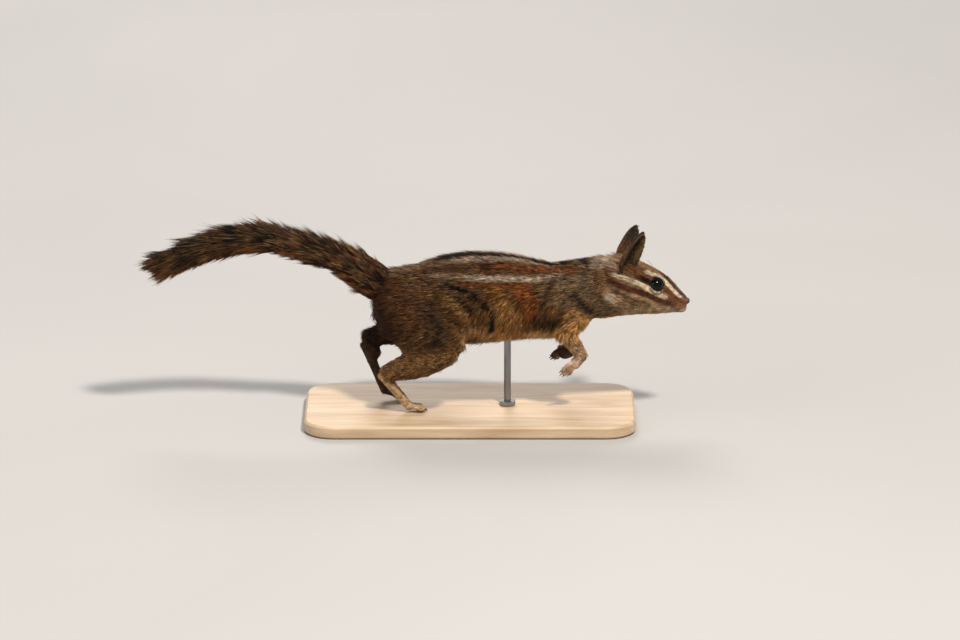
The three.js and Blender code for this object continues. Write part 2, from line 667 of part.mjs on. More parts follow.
// A named mesh with its own material.
function node(name, solid, color, roughness = 0.9, metalness = 0) {
  const material = new THREE.MeshStandardMaterial({ color, roughness, metalness });
  const mesh = new THREE.Mesh(geometryOf(solid), material);
  mesh.name = name;
  return mesh;
}

function headGroup() {
  const group = new THREE.Group();
  const near = skull(GAP);
  group.add(
    node("head", head(), COLOURS.coat),
    node("nose", nose(), COLOURS.nose, 0.5),
    node("eye_right", eyeBall(RIGHT), COLOURS.eye, 0.05),
    node("eye_left", eyeBall(LEFT), COLOURS.eye, 0.05),
    node("ear_right", ear(EARS.right).subtract(near), COLOURS.ear),
    node("ear_left", ear(EARS.left).subtract(near), COLOURS.ear),
  );
  group.applyMatrix4(headMatrix());
  return group;
}

function tailNodes(bodyCutter) {
  const whole = join([tailCore(), ...tailLocks()]).subtract(bodyCutter);
  const [first, second] = LOCKS.partings;
  const nodes = {
    tail_base: whole.subtract(parting(first, GAP / 2)),
    tail_middle: whole.intersect(parting(first, -GAP / 2)).subtract(parting(second, GAP / 2)),
    tail_tip: whole.intersect(parting(second, -GAP / 2)),
  };
  return Object.entries(nodes).map(([name, solid]) => node(name, solid, COLOURS.tail));
}

// Each leg is cut clear of the body, and each paw clear of its leg.
function legNodes(bodyCutter) {
  return ["right", "left"].flatMap((name) => {
    const fore = FORELEGS[name];
    const hind = HINDLEGS[name];
    return [
      node(`foreleg_${name}`, foreleg(fore).subtract(bodyCutter), COLOURS.coat),
      node(`forepaw_${name}`, forepaw(fore, 0.3).subtract(foreleg(fore, GAP)), COLOURS.paw),
      node(`hindleg_${name}`, hindleg(hind).subtract(bodyCutter), COLOURS.coat),
      node(`hindfoot_${name}`, hindfoot(hind).subtract(hindleg(hind, GAP)), COLOURS.paw),
    ];
  });
}

const body = trunk();
const bodyCutter = trunk(GAP).add(neck(GAP));
const animal = new THREE.Group();
animal.position.z = BASE.thickness;
animal.add(
  node("torso", body, COLOURS.coat),
  node("neck", neck(), COLOURS.coat),
  headGroup(),
  ...legNodes(bodyCutter),
  ...tailNodes(bodyCutter),
  node("stand_rod", standRod(trunk(GAP)), COLOURS.rod, 0.3, 0.9),
);

const model = new THREE.Group();
model.add(node("stand_base", standBase(), COLOURS.stand, 0.7), animal);

export default model;
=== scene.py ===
"""A still, life-size chipmunk on a small stand: skin, coat, tail, ears, eyes, stand, floor, lights, camera.

Lengths are in millimetres in the frame of the CAD part, angles in degrees, and colours from 0 to 255 as a
screen shows them. Meshes and lights are made in metres.
"""

import math

import bmesh
import bpy
import numpy as np
from mathutils import Matrix, Vector
from mathutils.kdtree import KDTree

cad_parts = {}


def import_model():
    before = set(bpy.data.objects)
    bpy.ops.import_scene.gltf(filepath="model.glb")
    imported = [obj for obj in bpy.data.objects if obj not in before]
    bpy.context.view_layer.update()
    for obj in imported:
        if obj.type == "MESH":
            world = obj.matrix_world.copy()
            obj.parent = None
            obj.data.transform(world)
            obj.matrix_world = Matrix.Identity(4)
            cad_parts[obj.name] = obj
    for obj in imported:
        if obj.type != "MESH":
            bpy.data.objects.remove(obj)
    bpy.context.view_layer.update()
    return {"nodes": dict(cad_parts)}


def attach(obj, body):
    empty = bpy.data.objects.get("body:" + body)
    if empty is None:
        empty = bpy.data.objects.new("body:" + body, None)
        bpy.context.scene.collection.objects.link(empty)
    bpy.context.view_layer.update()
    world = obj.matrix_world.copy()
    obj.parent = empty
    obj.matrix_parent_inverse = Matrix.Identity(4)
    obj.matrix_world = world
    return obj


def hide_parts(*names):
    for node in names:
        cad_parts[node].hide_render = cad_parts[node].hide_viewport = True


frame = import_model()

MM = 0.001
BODY = "root"
BASE_TOP = 5.0
SEEDS = {
    "regions": 41, "coat": 23, "coat_clumps": 3, "tail": 61, "tail_clumps": 62, "ear_outside": 11,
    "ear_inside": 12, "whiskers": 77, "ragged": (5, 6), "mottle": (31, 32, 33), "tail_colours": (8, 9),
}

# The picture's own scale: where a point lands in its pixels, seen level with x and from 16 degrees up.
PICTURE = {"u0": 470.0, "v0": 405.0, "across": 0.40, "upward": 0.4161, "slant": 0.2867}
CAMERA = {
    "elevation": 16.0, "target": (4.0, 0.0, 40.4), "lens": 200.0, "sensor": 36.0, "width": 384.0,
    "near": 0.05, "far": 20.0,
}
# Place, size, power and colour. They all shine at LIT.
LIGHTS = {
    "key": ((0.50, -0.95, 1.60), 0.22, 42, (1.0, 0.96, 0.90)),
    "fill": ((-1.1, -0.5, 0.7), 1.0, 4, (0.94, 0.97, 1.0)),
    "rim": ((-0.2, 1.2, 1.1), 0.8, 14, (1.0, 0.98, 0.95)),
}
LIT = (0.0, 0.0, 0.045)
SKY = {"colour": (0.93, 0.96, 1.0, 1), "strength": 0.38}
FLOOR = {"half": 3000.0, "drop": 0.2}

# Flesh nodes that one skin stands for. The first list is copied, and the paws are built finer here.
COPIED = ["torso", "neck", "head", "foreleg_right", "foreleg_left", "hindleg_right", "hindleg_left"]
PAWS = ["forepaw_right", "forepaw_left", "hindfoot_right", "hindfoot_left"]
TAILS = ["tail_base", "tail_middle", "tail_tip"]
SIDE = {"right": -1.0, "left": 1.0}
VOXEL = 0.46
SWELL = 0.34
# Rounds of evening out along the surface. Where a share follows, it is that of a round on calm flesh.
EVEN = {"regions": 14, "shape": (9, 0.5), "normals": 4, "pressed": (3, 0.4), "under_hair": 3, "lie": 8}

HEAD = {"place": (54.8, 0.0, 49.4 + BASE_TOP), "pitch": 12.0, "yaw": 3.0}
# The eyeball, the opening of its lids, the depth of the socket and the height of its rim.
EYE = {
    "centre": (18.3, 5.25, 5.7), "radius": 3.0, "outward": (0.24, 0.86, 0.46), "lid_line": (1.0, 0, -0.34),
    "long": 2.9, "tall": 2.3, "socket": 0.7, "rim": 0.18, "rows": 40, "columns": 56,
}
# A rolled ring round the opening. long and tall are shares of the opening's half sizes.
LID = {"steps": 56, "sides": 10, "long": 1.04, "tall": 1.06, "over": 0.06, "radius": 0.34, "flat": 0.8}
NOSE = {
    "centre": (32.3, 0.0, 0.3), "half": (1.5, 1.75, 1.4), "nostril": 0.55, "apart": 0.95, "ahead": 0.95,
    "below": -0.25, "tall": 1.35, "dent": 0.6, "groove": 0.22, "groove_half": 0.16, "chin_width": 0.72,
}
MOUTH = [(33.2, -2.1), (30.5, -2.9), (27.5, -3.9), (25.0, -4.6), (23.6, -4.4)]
# The crease along the mouth and the lips beside it.
CREASE = {"half": 0.42, "deep": 0.55, "lip_at": 0.85, "lip_half": 0.5, "lip": 0.10, "middle": -0.5}
EARS = {
    "right": {"root": (4.6, -8.4, 9.6), "tip": (8.6, -8.6, 26.2), "facing": (0.72, -0.68, 0.0), "half": 4.3},
    "left": {"root": (4.6, 8.4, 9.6), "tip": (7.9, 10.2, 23.9), "facing": (0.80, 0.60, 0.0), "half": 3.6},
}
# The leaf's bend at its root and tip, its thickness, and shares of its height and thickness.
EAR = {
    "cup": 80.0, "tip": 40.0, "thick": 0.75, "below": 0.15, "widest": 0.3, "columns": 28, "rows": 36,
    "edge": 0.45, "shade": 0.6,
}

TAIL_LINE = [
    (-32, 47.6), (-38, 51.6), (-44, 55.6), (-52, 60.2), (-60, 63.2), (-68, 65.8), (-76, 67.8),
    (-84, 68.4), (-92, 67.8), (-100, 66.2), (-108, 63.6), (-116, 60.4), (-124, 57.0), (-132, 53.8),
]
TAIL = {"root": 6.6, "root_length": 27.0, "core": 2.7, "tip": 1.3, "length": 93.0, "sides": 18}

# Limb lines: x, distance from the middle plane, height over the base. Each ends with wrist, knuckle and tip.
FORELEG = {
    "right": [(42.6, 7.4, 43.0), (38.0, 10.6, 33.0), (44.6, 9.6, 23.8), (42.0, 9.4, 19.8), (37.4, 9.0, 15.4)],
    "left": [(42.0, 7.4, 43.0), (37.0, 10.6, 31.8), (41.8, 9.6, 21.6), (38.0, 9.6, 19.6), (33.2, 9.4, 17.2)],
}
HINDLEG = {
    "right": [
        (-25, 10.6, 43.0), (-18, 13.0, 35.4), (-9.8, 14.7, 28.0), (-20, 13.8, 21.8),
        (-32.6, 11.4, 16.8), (-34.4, 11.2, 15.4), (-24.6, 9.2, 2.3), (-18.4, 8.6, 0.9),
    ],
    "left": [
        (-26, 10.4, 44.0), (-20, 12.6, 37.2), (-11.5, 14.2, 29.4), (-26, 12.0, 28.2),
        (-40.6, 9.0, 26.2), (-42.0, 8.6, 22.6), (-34.4, 6.8, 4.0), (-26.8, 6.0, 0.9),
    ],
}
# Sizes are half heights and half widths along the paw. The left hand is fuller by the given factors.
HAND = {
    "digits": 4, "spread": 5.2, "toe": 0.92, "arch": 0.7, "roll": 38.0, "sizes": [(2.6, 2.4), (2.2, 2.6)],
    "left": (1.55, 1.2),
}
FOOT = {
    "digits": 5, "spread": 5.2, "toe": 0.86, "arch": 0.35, "roll": 0.0,
    "sizes": [(2.3, 2.2), (1.9, 2.2), (1.7, 2.7)], "toes_up": 0.3,
}
# Shares of a paw's spread and of a digit's size, and how far the pad hangs.
TOE = {
    "root": 0.36, "end": 0.62, "outer": 0.2, "taper": 0.82, "knobs": 0.1, "pad": (0.8, 0.62, 0.5),
    "under": 0.22,
}
CLAW = {"length": 1.9, "radius": 0.36, "point": 0.06, "droop": 0.5, "steepest": -0.35}
LIMBS = [(FORELEG, HAND, "foreleg", "forepaw"), (HINDLEG, FOOT, "hindleg", "hindfoot")]

# Fuller flesh fused into the skin: centre with its height over the base, and half sizes.
FLESH = [
    ((-8.8, -13.4, 31.6), (8.2, 5.6, 8.0)),
    ((-28.0, 11.6, 27.4), (7.0, 3.6, 4.3)),
    ((-35.5, 10.0, 26.2), (6.0, 3.0, 3.9)),
    ((-38.6, 8.8, 21.0), (2.9, 2.3, 5.2)),
]
# The blunt end of the muzzle and the lower lip, in the head's own frame.
MUZZLE = [((30.7, 0.0, -2.9), (3.2, 2.7, 2.7)), ((31.3, 0.0, -0.7), (2.3, 2.6, 2.9))]

# Coats: how hair gathers into clumps and stands off the skin. Lifts are angles along a tuft.
# The gains make up for the shade between the tufts.
HAIR_GAIN = 1.4
HEAD_GAIN = 1.2
COAT = {
    "clump": 9, "pull": 0.42, "stray": 0.13, "lifts": ((25, 4, 60), (9, -8, 50)), "vary": 6, "dark": 0.26,
    "pale": 0.16, "sink": 0.18,
}
EAR_HAIR = {"outside": 2600, "inside": 1100, "stray": 0.12, "lifts": (16, 6), "pale": 0.28, "sink": 0.05}
TAIL_HAIR = {
    "number": 15000, "clump": 26, "pull": 0.66, "stray": 0.07, "pale": 0.42, "lift_limits": (3, 29),
    "length_at": [0, 0.08, 0.25, 0.6, 0.9, 1.0], "length": [4.8, 7.2, 10.6, 12.2, 12.0, 11.0],
    "rise_at": [0, 0.12, 0.3, 0.85, 1.0], "rise": [13, 19, 24, 25, 19], "share": (1.25, 0.95, 0.62),
}
# Most faces that one mesh of tufts holds.
TUFT_FACES = 196000
TRUNK_AXIS = [(-40, 0, 50), (-20, 0, 47), (5, 0, 50), (30, 0, 50), (50, 0, 53)]
WHISKER = {"rows": 3, "columns": 4, "brows": 2, "radius": 0.06, "brow_radius": 0.05, "tip": 0.02, "sides": 5}

# Where one part of the pattern or of the coat passes into the next. Names with _u and _v are columns and rows
# of the picture, the others are millimetres.
FADES = {
    "turned_with_head": (50, 60), "ridge_half": (2.7, 1.5), "ridge_start_u": (424, 446),
    "ridge_end_u": (586, 560), "ridge_v": (275, 268), "belly": (36, 31), "belly_half": (5, 11),
    "belly_start": (-30, -20), "neck_u": (590, 600), "crown_half": (2.2, 1.2), "crown": (4, 7),
    "crown_end": (22, 14), "chin": (-4.5, -7.0), "chin_start": (4, 10), "outer_side": (-0.2, 1.3),
    "forearm": (33, 25), "upper_arm": (42, 34), "shank_right": (31, 25), "shank_left": (40, 33),
    "streaks_v": (284, 304), "streaks_start_u": (462, 480), "streaks_end_u": (580, 560),
    "flank_v": (284, 318), "flank_start_u": (455, 480), "flank_end_u": (580, 550), "thigh": (33, 27),
    "lids": (3.6, 5.4), "calm_muzzle": (24, 30), "bare_nose": (29.5, 31.5), "near_eye": (5.4, 4.2),
    "no_hair": (30.6, 31.8), "ear_root": (7.0, 3.5), "rump": (22, 8), "arm": (26, 34),
}
COLOURS = {
    "trunk": (88, 62, 38), "neck": (96, 74, 54), "face": (122, 96, 72), "ridge": (24, 16, 11),
    "belly": (168, 150, 128), "crown": (104, 78, 56), "chin": (172, 146, 116),
    # The far legs' colours are painted shade: dark for their inner side, which lies in shade.
    "shoulder": (104, 78, 54), "tail": (86, 52, 30), "arm": (164, 122, 76), "arm_far": (92, 62, 40),
    "forearm": (168, 138, 108), "forearm_far": (72, 49, 35), "forepaw": (176, 150, 128),
    "forepaw_far": (60, 42, 32), "shank": (112, 81, 52), "shank_far": (50, 33, 22),
    "hindfoot": (166, 138, 106), "hindfoot_far": (60, 41, 30), "pale_tip": (176, 140, 92),
    "dark_root": (44, 34, 28), "rust": (140, 80, 36), "brown": (78, 48, 27), "black": (32, 21, 15),
    "frost": (158, 124, 78), "lid": (20, 14, 11), "claw": (58, 42, 34), "whisker": (52, 38, 28),
    # The nostril colour is painted shade for the nostrils' hollows and the groove between them.
    "nose": (88, 58, 42), "nostril": (36, 22, 16), "iris": (20, 12, 8), "pupil": (5, 4, 3),
    "ear_in_low": (60, 42, 32), "ear_in_high": (96, 74, 58), "ear_out_low": (78, 58, 42),
    "ear_out_high": (54, 40, 32), "ear_dark": (38, 27, 20), "ear_warm": (84, 56, 34),
    "ear_pale": (140, 108, 72), "ear_grey": (120, 98, 78), "ear_deep": (40, 28, 20),
    "ear_fringe": (110, 80, 48),
}
# How much each colour counts in a grey, and how far colours are drawn away from it.
GREY = np.array([0.3, 0.55, 0.15])
RICHER = 1.08


# Small array helpers.
def unit(a):
    return a / np.maximum(np.linalg.norm(a, axis=-1, keepdims=True), 1e-9)


def flat(d, normals):
    """Directions turned into the surface."""
    return unit(d - normals * (d * normals).sum(1)[:, None])


def strayed(d, normals, by, rng):
    return flat(unit(d + rng.normal(0, by, d.shape)), normals)


def smooth(a, b, x):
    t = np.clip((x - a) / (b - a), 0, 1)
    return t * t * (3 - 2 * t)


def fade(name, x):
    return smooth(*FADES[name], x)


def bell(x):
    return np.exp(-(x**2))


def mix(a, b, t):
    return a + (b - a) * t


def blend(a, b, t):
    """As mix, for colours or directions with one share for each point."""
    return a + (b - a) * t[:, None]


def srgb(*rgb):
    c = np.array(rgb, float) / 255
    return np.where(c <= 0.04045, c / 12.92, ((c + 0.055) / 1.055) ** 2.4)


TINT = {name: srgb(*rgb) for name, rgb in COLOURS.items()}


def curve(points, n):
    """n points on a smooth line through the given ones, evenly spaced."""
    p = np.array(points, float)
    p = np.vstack([2 * p[0] - p[1], p, 2 * p[-1] - p[-2]])
    t = np.linspace(0, len(points) - 1 - 1e-6, 400)
    i = t.astype(int)
    f = (t - i)[:, None]
    a, b, c, d = p[i], p[i + 1], p[i + 2], p[i + 3]
    line = 0.5 * (2 * b + (c - a) * f + (2 * a - 5 * b + 4 * c - d) * f**2 + (3 * b - 3 * c + d - a) * f**3)
    run = np.concatenate([[0], np.cumsum(np.linalg.norm(np.diff(line, axis=0), axis=1))])
    want = np.linspace(0, run[-1], n)
    return np.stack([np.interp(want, run, line[:, k]) for k in range(line.shape[1])], axis=1)


def nearest_on(line, p):
    """For each point: share along a line, distance from it, nearest point, direction there."""
    best = np.full(len(p), 1e9)
    share = np.zeros(len(p))
    foot = np.zeros((len(p), line.shape[1]))
    ahead = np.zeros((len(p), line.shape[1]))
    for k in range(len(line) - 1):
        a, b = line[k], line[k + 1]
        ab = b - a
        t = np.clip(((p - a) @ ab) / (ab @ ab), 0, 1)
        q = a + t[:, None] * ab
        d = np.linalg.norm(p - q, axis=1)
        near = d < best
        best[near] = d[near]
        share[near] = (k + t[near]) / (len(line) - 1)
        foot[near] = q[near]
        ahead[near] = unit(ab)
    return share, best, foot, ahead


def ripple(p, size, seed, waves=7):
    """Smooth uneven numbers between about -1 and 1 over points, size being the length of a wave."""
    rng = np.random.default_rng(seed)
    k = unit(rng.normal(size=(waves, p.shape[1]))) * rng.uniform(0.6, 1.7, (waves, 1)) * (2 * math.pi / size)
    phase = rng.uniform(0, 2 * math.pi, waves)
    return np.sin(p @ k.T + phase).sum(1) / math.sqrt(waves) / 0.9


def search_tree(points):
    tree = KDTree(len(points))
    for i, p in enumerate(points):
        tree.insert(p, i)
    tree.balance()
    return tree


def areas(tri):
    return np.linalg.norm(np.cross(tri[:, 1] - tri[:, 0], tri[:, 2] - tri[:, 0]), axis=1) / 2


def random_corners(number, rng):
    """Random shares of a triangle's second and third corners."""
    r = rng.random((number, 2))
    r[r.sum(1) > 1] = 1 - r[r.sum(1) > 1]
    return r


# Weights of the regions of the body.
def total(w, names):
    return sum(w[n] for n in names)


def part_weight(w, part):
    """The weight of a part of the body, of both sides' where it has two."""
    return w[part] if part in w else w[part + "_right"] + w[part + "_left"]


# Meshes.
def mesh_object(name, points, faces, tint=None, uv=None, material=None):
    me = bpy.data.meshes.new(name)
    faces = np.asarray(faces)
    me.vertices.add(len(points))
    me.vertices.foreach_set("co", (np.asarray(points) * MM).astype(np.float32).ravel())
    me.loops.add(faces.size)
    me.loops.foreach_set("vertex_index", faces.astype(np.int32).ravel())
    me.polygons.add(len(faces))
    me.polygons.foreach_set("loop_start", np.arange(len(faces), dtype=np.int32) * faces.shape[1])
    me.polygons.foreach_set("use_smooth", np.ones(len(faces), bool))
    me.update(calc_edges=True)
    if uv is not None:
        layer = me.uv_layers.new(name="OFBake")
        layer.data.foreach_set("uv", uv[faces.ravel()].astype(np.float32).ravel())
    if tint is not None:
        layer = me.color_attributes.new("tint", "FLOAT_COLOR", "POINT")
        rgba = np.ones((len(points), 4), np.float32)
        rgba[:, :3] = tint
        layer.data.foreach_set("color", rgba.ravel())
    if material is not None:
        me.materials.append(material)
    o = bpy.data.objects.new(name, me)
    bpy.context.scene.collection.objects.link(o)
    return o


def joined(pieces):
    """One vertex list and one face list from several, faces of equal size."""
    points = np.vstack([p for p, _ in pieces])
    start = np.cumsum([0] + [len(p) for p, _ in pieces])
    return points, np.vstack([f + s for (_, f), s in zip(pieces, start)])


def facing_out(points, faces):
    """The faces of a closed body, wound so that they face outward."""
    q = points[faces] - points.mean(0)
    fans = range(1, faces.shape[1] - 1)
    volume = sum((q[:, 0] * np.cross(q[:, k], q[:, k + 1])).sum() for k in fans)
    return faces if volume > 0 else faces[:, ::-1]


def tube(line, tall, wide, sides, across=(0, 1, 0), ends=(0.35, 0.72, 0.93)):
    """A closed tube of triangles with round ends. tall and wide are half sizes along the line."""
    n = len(line)
    tall, wide = np.broadcast_to(tall, n), np.broadcast_to(wide, n)
    across = np.array(across, float)
    ahead = unit(np.gradient(line, axis=0))
    side = unit(across - ahead * (ahead @ across)[:, None])
    up = np.cross(ahead, side)
    caps = [(s, -math.sqrt(1 - s * s)) for s in ends]
    stations = [(0, s, d) for s, d in caps] + [(i, 1, 0) for i in range(n)]
    stations += [(n - 1, s, -d) for s, d in reversed(caps)]
    angle = np.arange(sides) * 2 * math.pi / sides
    rings = []
    for i, s, d in stations:
        centre = line[i] + ahead[i] * d * min(tall[i], wide[i])
        level = np.outer(np.cos(angle) * wide[i] * s, side[i])
        rings.append(centre + level + np.outer(np.sin(angle) * tall[i] * s, up[i]))
    points = np.vstack(rings + [rings[0].mean(0)[None], rings[-1].mean(0)[None]])
    j = np.arange(sides)
    k = (j + 1) % sides
    faces = []
    for i in range(len(rings) - 1):
        a, b = i * sides + j, i * sides + k
        faces += [np.stack([a, b, b + sides], 1), np.stack([a, b + sides, a + sides], 1)]
    first = len(rings) * sides
    last = first - sides
    start, end = np.full(sides, first), np.full(sides, first + 1)
    faces += [np.stack([start, k, j], 1), np.stack([end, last + j, last + k], 1)]
    return points, facing_out(points, np.vstack(faces))


def ball(centre, half, rows=14, columns=20):
    """A closed ball of triangles, its poles along x."""
    a = np.linspace(0, math.pi, rows + 1)[1:-1]
    b = np.arange(columns) * 2 * math.pi / columns
    wide = np.sin(a)
    ring = [np.outer(np.cos(a), np.ones(columns)), np.outer(wide, np.cos(b)), np.outer(wide, np.sin(b))]
    ring = np.stack(ring, 2).reshape(-1, 3)
    points = np.vstack([ring, [[1, 0, 0], [-1, 0, 0]]]) * half + centre
    j = np.arange(columns)
    k = (j + 1) % columns
    faces = []
    for i in range(rows - 2):
        p, q = i * columns + j, i * columns + k
        faces += [np.stack([p, p + columns, q + columns], 1), np.stack([p, q + columns, q], 1)]
    n = len(ring)
    last = (rows - 2) * columns
    start, end = np.full(columns, n), np.full(columns, n + 1)
    faces += [np.stack([start, j, k], 1), np.stack([end, last + k, last + j], 1)]
    return points, np.vstack(faces)


# Frames and lines of the animal.
HEAD_TURN = np.array(
    Matrix.Rotation(math.radians(HEAD["yaw"]), 3, "Z") @ Matrix.Rotation(math.radians(HEAD["pitch"]), 3, "Y")
)
HEAD_PLACE = np.array(HEAD["place"])


def to_head(p):
    return (p - HEAD_PLACE) @ HEAD_TURN


def from_head(p):
    return np.asarray(p, float) @ HEAD_TURN.T + HEAD_PLACE


def limb_line(lines, side, n=60):
    return curve([(x, y * SIDE[side], z + BASE_TOP) for x, y, z in lines[side]], n)


TAIL_CURVE = curve([(x, 0.0, z + BASE_TOP) for x, z in TAIL_LINE], 120)
TAIL_LENGTH = float(np.linalg.norm(np.diff(TAIL_CURVE, axis=0), axis=1).sum())


def core_radius(distance):
    slim = mix(TAIL["core"], TAIL["tip"], np.clip(distance / TAIL["length"], 0, 1))
    return mix(TAIL["root"], slim, smooth(0, TAIL["root_length"], distance))


def side_view(p):
    """Where points land in the picture's pixels, the far side mirrored onto the near one."""
    h = to_head(p)
    near = p.copy()
    near[:, 1] = -np.abs(near[:, 1])
    h[:, 1] = -np.abs(h[:, 1])
    near = mix(near, from_head(h), fade("turned_with_head", p[:, 0])[:, None])
    u = PICTURE["u0"] + near[:, 0] / PICTURE["across"]
    v = PICTURE["v0"] - (near[:, 2] - BASE_TOP + PICTURE["slant"] * near[:, 1]) / PICTURE["upward"]
    return np.stack([u, v], 1)


def eye_frame(side):
    """Centre and axes of an eye: along the lid line, across it, and outward."""
    c = np.array(EYE["centre"]) * (1, side, 1)
    out = unit(np.array(EYE["outward"]) * (1, side, 1))
    long = np.array(EYE["lid_line"])
    long = unit(long - out * (long @ out))
    tall = np.cross(out, long)
    return c, long, tall if tall[2] > 0 else -tall, out


def lid_profile(angle):
    """Half sizes of the eye's opening by angle: pointed towards the nose and the ear."""
    a = EYE["long"] * np.cos(angle)
    b = EYE["tall"] * np.sin(angle) * (1 - 0.22 * np.abs(np.cos(angle)) ** 3)
    return a * (1 + 0.10 * np.abs(np.cos(angle)) ** 6), b


def lid_place(h, side):
    """Offsets from an eye's centre, how far out each lies where the opening's edge is 1, and its height."""
    c, long, tall, out = eye_frame(side)
    d = h - c
    a, b = d @ long, d @ tall
    edge = np.hypot(*lid_profile(np.arctan2(b / EYE["tall"], a / EYE["long"])))
    return d, np.hypot(a, b) / edge, d @ out


def eye_gap(h):
    """Distance to the nearer eye's centre."""
    return np.minimum(*(np.linalg.norm(h - eye_frame(side)[0], axis=1) for side in (-1, 1)))


# The skin: solids swelled until they meet, finer paws and a slim tail core, fused into one surface.
def digits(knuckle, tip, kind):
    """The digits of a paw with their pads, and the claws."""
    ahead = unit(tip - knuckle)
    across = unit(np.array([-ahead[1], ahead[0], 0.0]))
    roll = math.radians(kind["roll"])
    across = across * math.cos(roll) + np.cross(ahead, across) * math.sin(roll)
    tubes, claws = [], []
    for share in np.arange(kind["digits"]) * 2 / (kind["digits"] - 1) - 1:
        aside = across * share * kind["spread"]
        root = knuckle + aside * TOE["root"]
        end = mix(knuckle, tip, 1 - TOE["outer"] * share * share) + aside * TOE["end"]
        bend = (root + end) / 2 + np.array([0, 0, kind["arch"]])
        size = mix(kind["toe"], kind["toe"] * TOE["taper"], np.linspace(0, 1, 9))
        size = size * (1 + TOE["knobs"] * np.sin(np.linspace(0, 9, 9)))
        tubes.append(tube(curve([root, bend, end], 9), size, size, 12, across))
        pad = end - ahead * 0.3 + np.array([0, 0, -TOE["under"]])
        tubes.append(ball(pad, np.array(TOE["pad"]) * kind["toe"] / TOE["pad"][0]))
        out = unit(end - bend)
        out = unit(np.array([out[0], out[1], max(out[2], CLAW["steepest"])]))
        up = np.cross(unit(np.array([-out[1], out[0], 0.0])), out)
        up = up if up[2] > 0 else -up
        t = np.linspace(0, 1, 8)[:, None]
        arc = end + out * (t * CLAW["length"] * 0.95 - 0.2) + up * (0.12 - CLAW["droop"] * t * t)
        thick = mix(CLAW["radius"], CLAW["point"], t[:, 0] ** 1.3)
        claws.append(tube(arc, thick * 1.15, thick * 0.8, 8, across, (0.5,)))
    return tubes, claws


def paws():
    tubes, claws = [], []
    for name, side in SIDE.items():
        for lines, kind, _, _ in LIMBS:
            wrist, knuckle, tip = (np.array([x, y * side, z + BASE_TOP]) for x, y, z in lines[name][-3:])
            if kind is FOOT:
                tip[2] = BASE_TOP + kind["toe"] + kind["toes_up"]
            steps = np.linspace(0, 1, 12)
            at = np.linspace(0, 1, len(kind["sizes"]))
            tall, wide = (np.interp(steps, at, sizes) for sizes in zip(*kind["sizes"]))
            if kind is HAND and name == "left":
                tall, wide = tall * kind["left"][0], wide * kind["left"][1]
            tubes.append(tube(curve([wrist, (wrist + knuckle) / 2, knuckle], 12), tall, wide, 18))
            more, sharp = digits(knuckle, tip, kind)
            tubes += more
            claws += sharp
    return tubes, claws


def welded(name):
    """A CAD node's surface as shared points and triangles, swelled so that neighbours meet."""
    bm = bmesh.new()
    bm.from_mesh(frame["nodes"][name].data)
    bmesh.ops.remove_doubles(bm, verts=bm.verts, dist=1e-6)
    bmesh.ops.triangulate(bm, faces=bm.faces)
    bm.normal_update()
    points = np.array([v.co / MM + v.normal * SWELL for v in bm.verts])
    faces = np.array([[v.index for v in f.verts] for f in bm.faces])
    bm.free()
    return points, faces


def remeshed(points, faces):
    """The outer surface of overlapping bodies: its points, four-sided faces and edges."""
    o = mesh_object("rough", points, faces)
    mod = o.modifiers.new("fuse", "REMESH")
    mod.mode = "VOXEL"
    mod.voxel_size = VOXEL * MM
    mod.adaptivity = 0.0
    me = bpy.data.meshes.new_from_object(o.evaluated_get(bpy.context.evaluated_depsgraph_get()))
    bpy.data.objects.remove(o)
    read = []
    for items, key, each, width, kind in (
        (me.vertices, "co", 3, 3, float),
        (me.loops, "vertex_index", 1, 4, np.int32),
        (me.edges, "vertices", 2, 2, np.int32),
    ):
        values = np.zeros(len(items) * each, kind)
        items.foreach_get(key, values)
        read.append(values.reshape(-1, width))
    bpy.data.meshes.remove(me)
    return read[0] / MM, read[1], read[2]


def spread(values, edges, rounds, share=0.5):
    """Values evened out with their neighbours' along the surface."""
    a, b = edges.T
    n = len(values)
    count = np.maximum(np.bincount(a, minlength=n) + np.bincount(b, minlength=n), 1)
    out = values.astype(float).copy()
    s = np.broadcast_to(np.asarray(share, float), n)
    for _ in range(rounds):
        sums = [np.bincount(a, x[b], minlength=n) + np.bincount(b, x[a], minlength=n) for x in out.T]
        out += s[:, None] * (np.stack(sums, 1) / count[:, None] - out)
    return out


def point_normals(p, f):
    n = np.cross(p[f[:, 2]] - p[f[:, 0]], p[f[:, 3]] - p[f[:, 1]])
    sums = [np.bincount(f.ravel(), np.repeat(x, 4), minlength=len(p)) for x in n.T]
    return unit(np.stack(sums, 1))


def region_weights(p, edges):
    """How far each point belongs to each flesh node and to the tail, passing over softly where they meet."""
    rng = np.random.default_rng(SEEDS["regions"])
    names = COPIED + PAWS
    points, label = [], []
    for i, name in enumerate(names):
        q, f = welded(name)
        pick = np.repeat(np.arange(len(f)), np.ceil(areas(q[f]) * 1.5).astype(int))
        r = random_corners(len(pick), rng)
        t = q[f][pick]
        points.append(t[:, 0] + r[:, :1] * (t[:, 1] - t[:, 0]) + r[:, 1:] * (t[:, 2] - t[:, 0]))
        label += [i] * len(pick)
    tree = search_tree(np.vstack(points))
    share, distance, _, _ = nearest_on(TAIL_CURVE, p)
    along_tail = share * TAIL_LENGTH
    on_tail = (along_tail > 9) & (distance < core_radius(along_tail) + 1.2)
    region = [len(names) if tail else label[tree.find(q)[1]] for q, tail in zip(p, on_tail)]
    w = spread(np.eye(len(names) + 1)[region], edges, EVEN["regions"])
    return {name: w[:, i] for i, name in enumerate(names + ["tail"])}


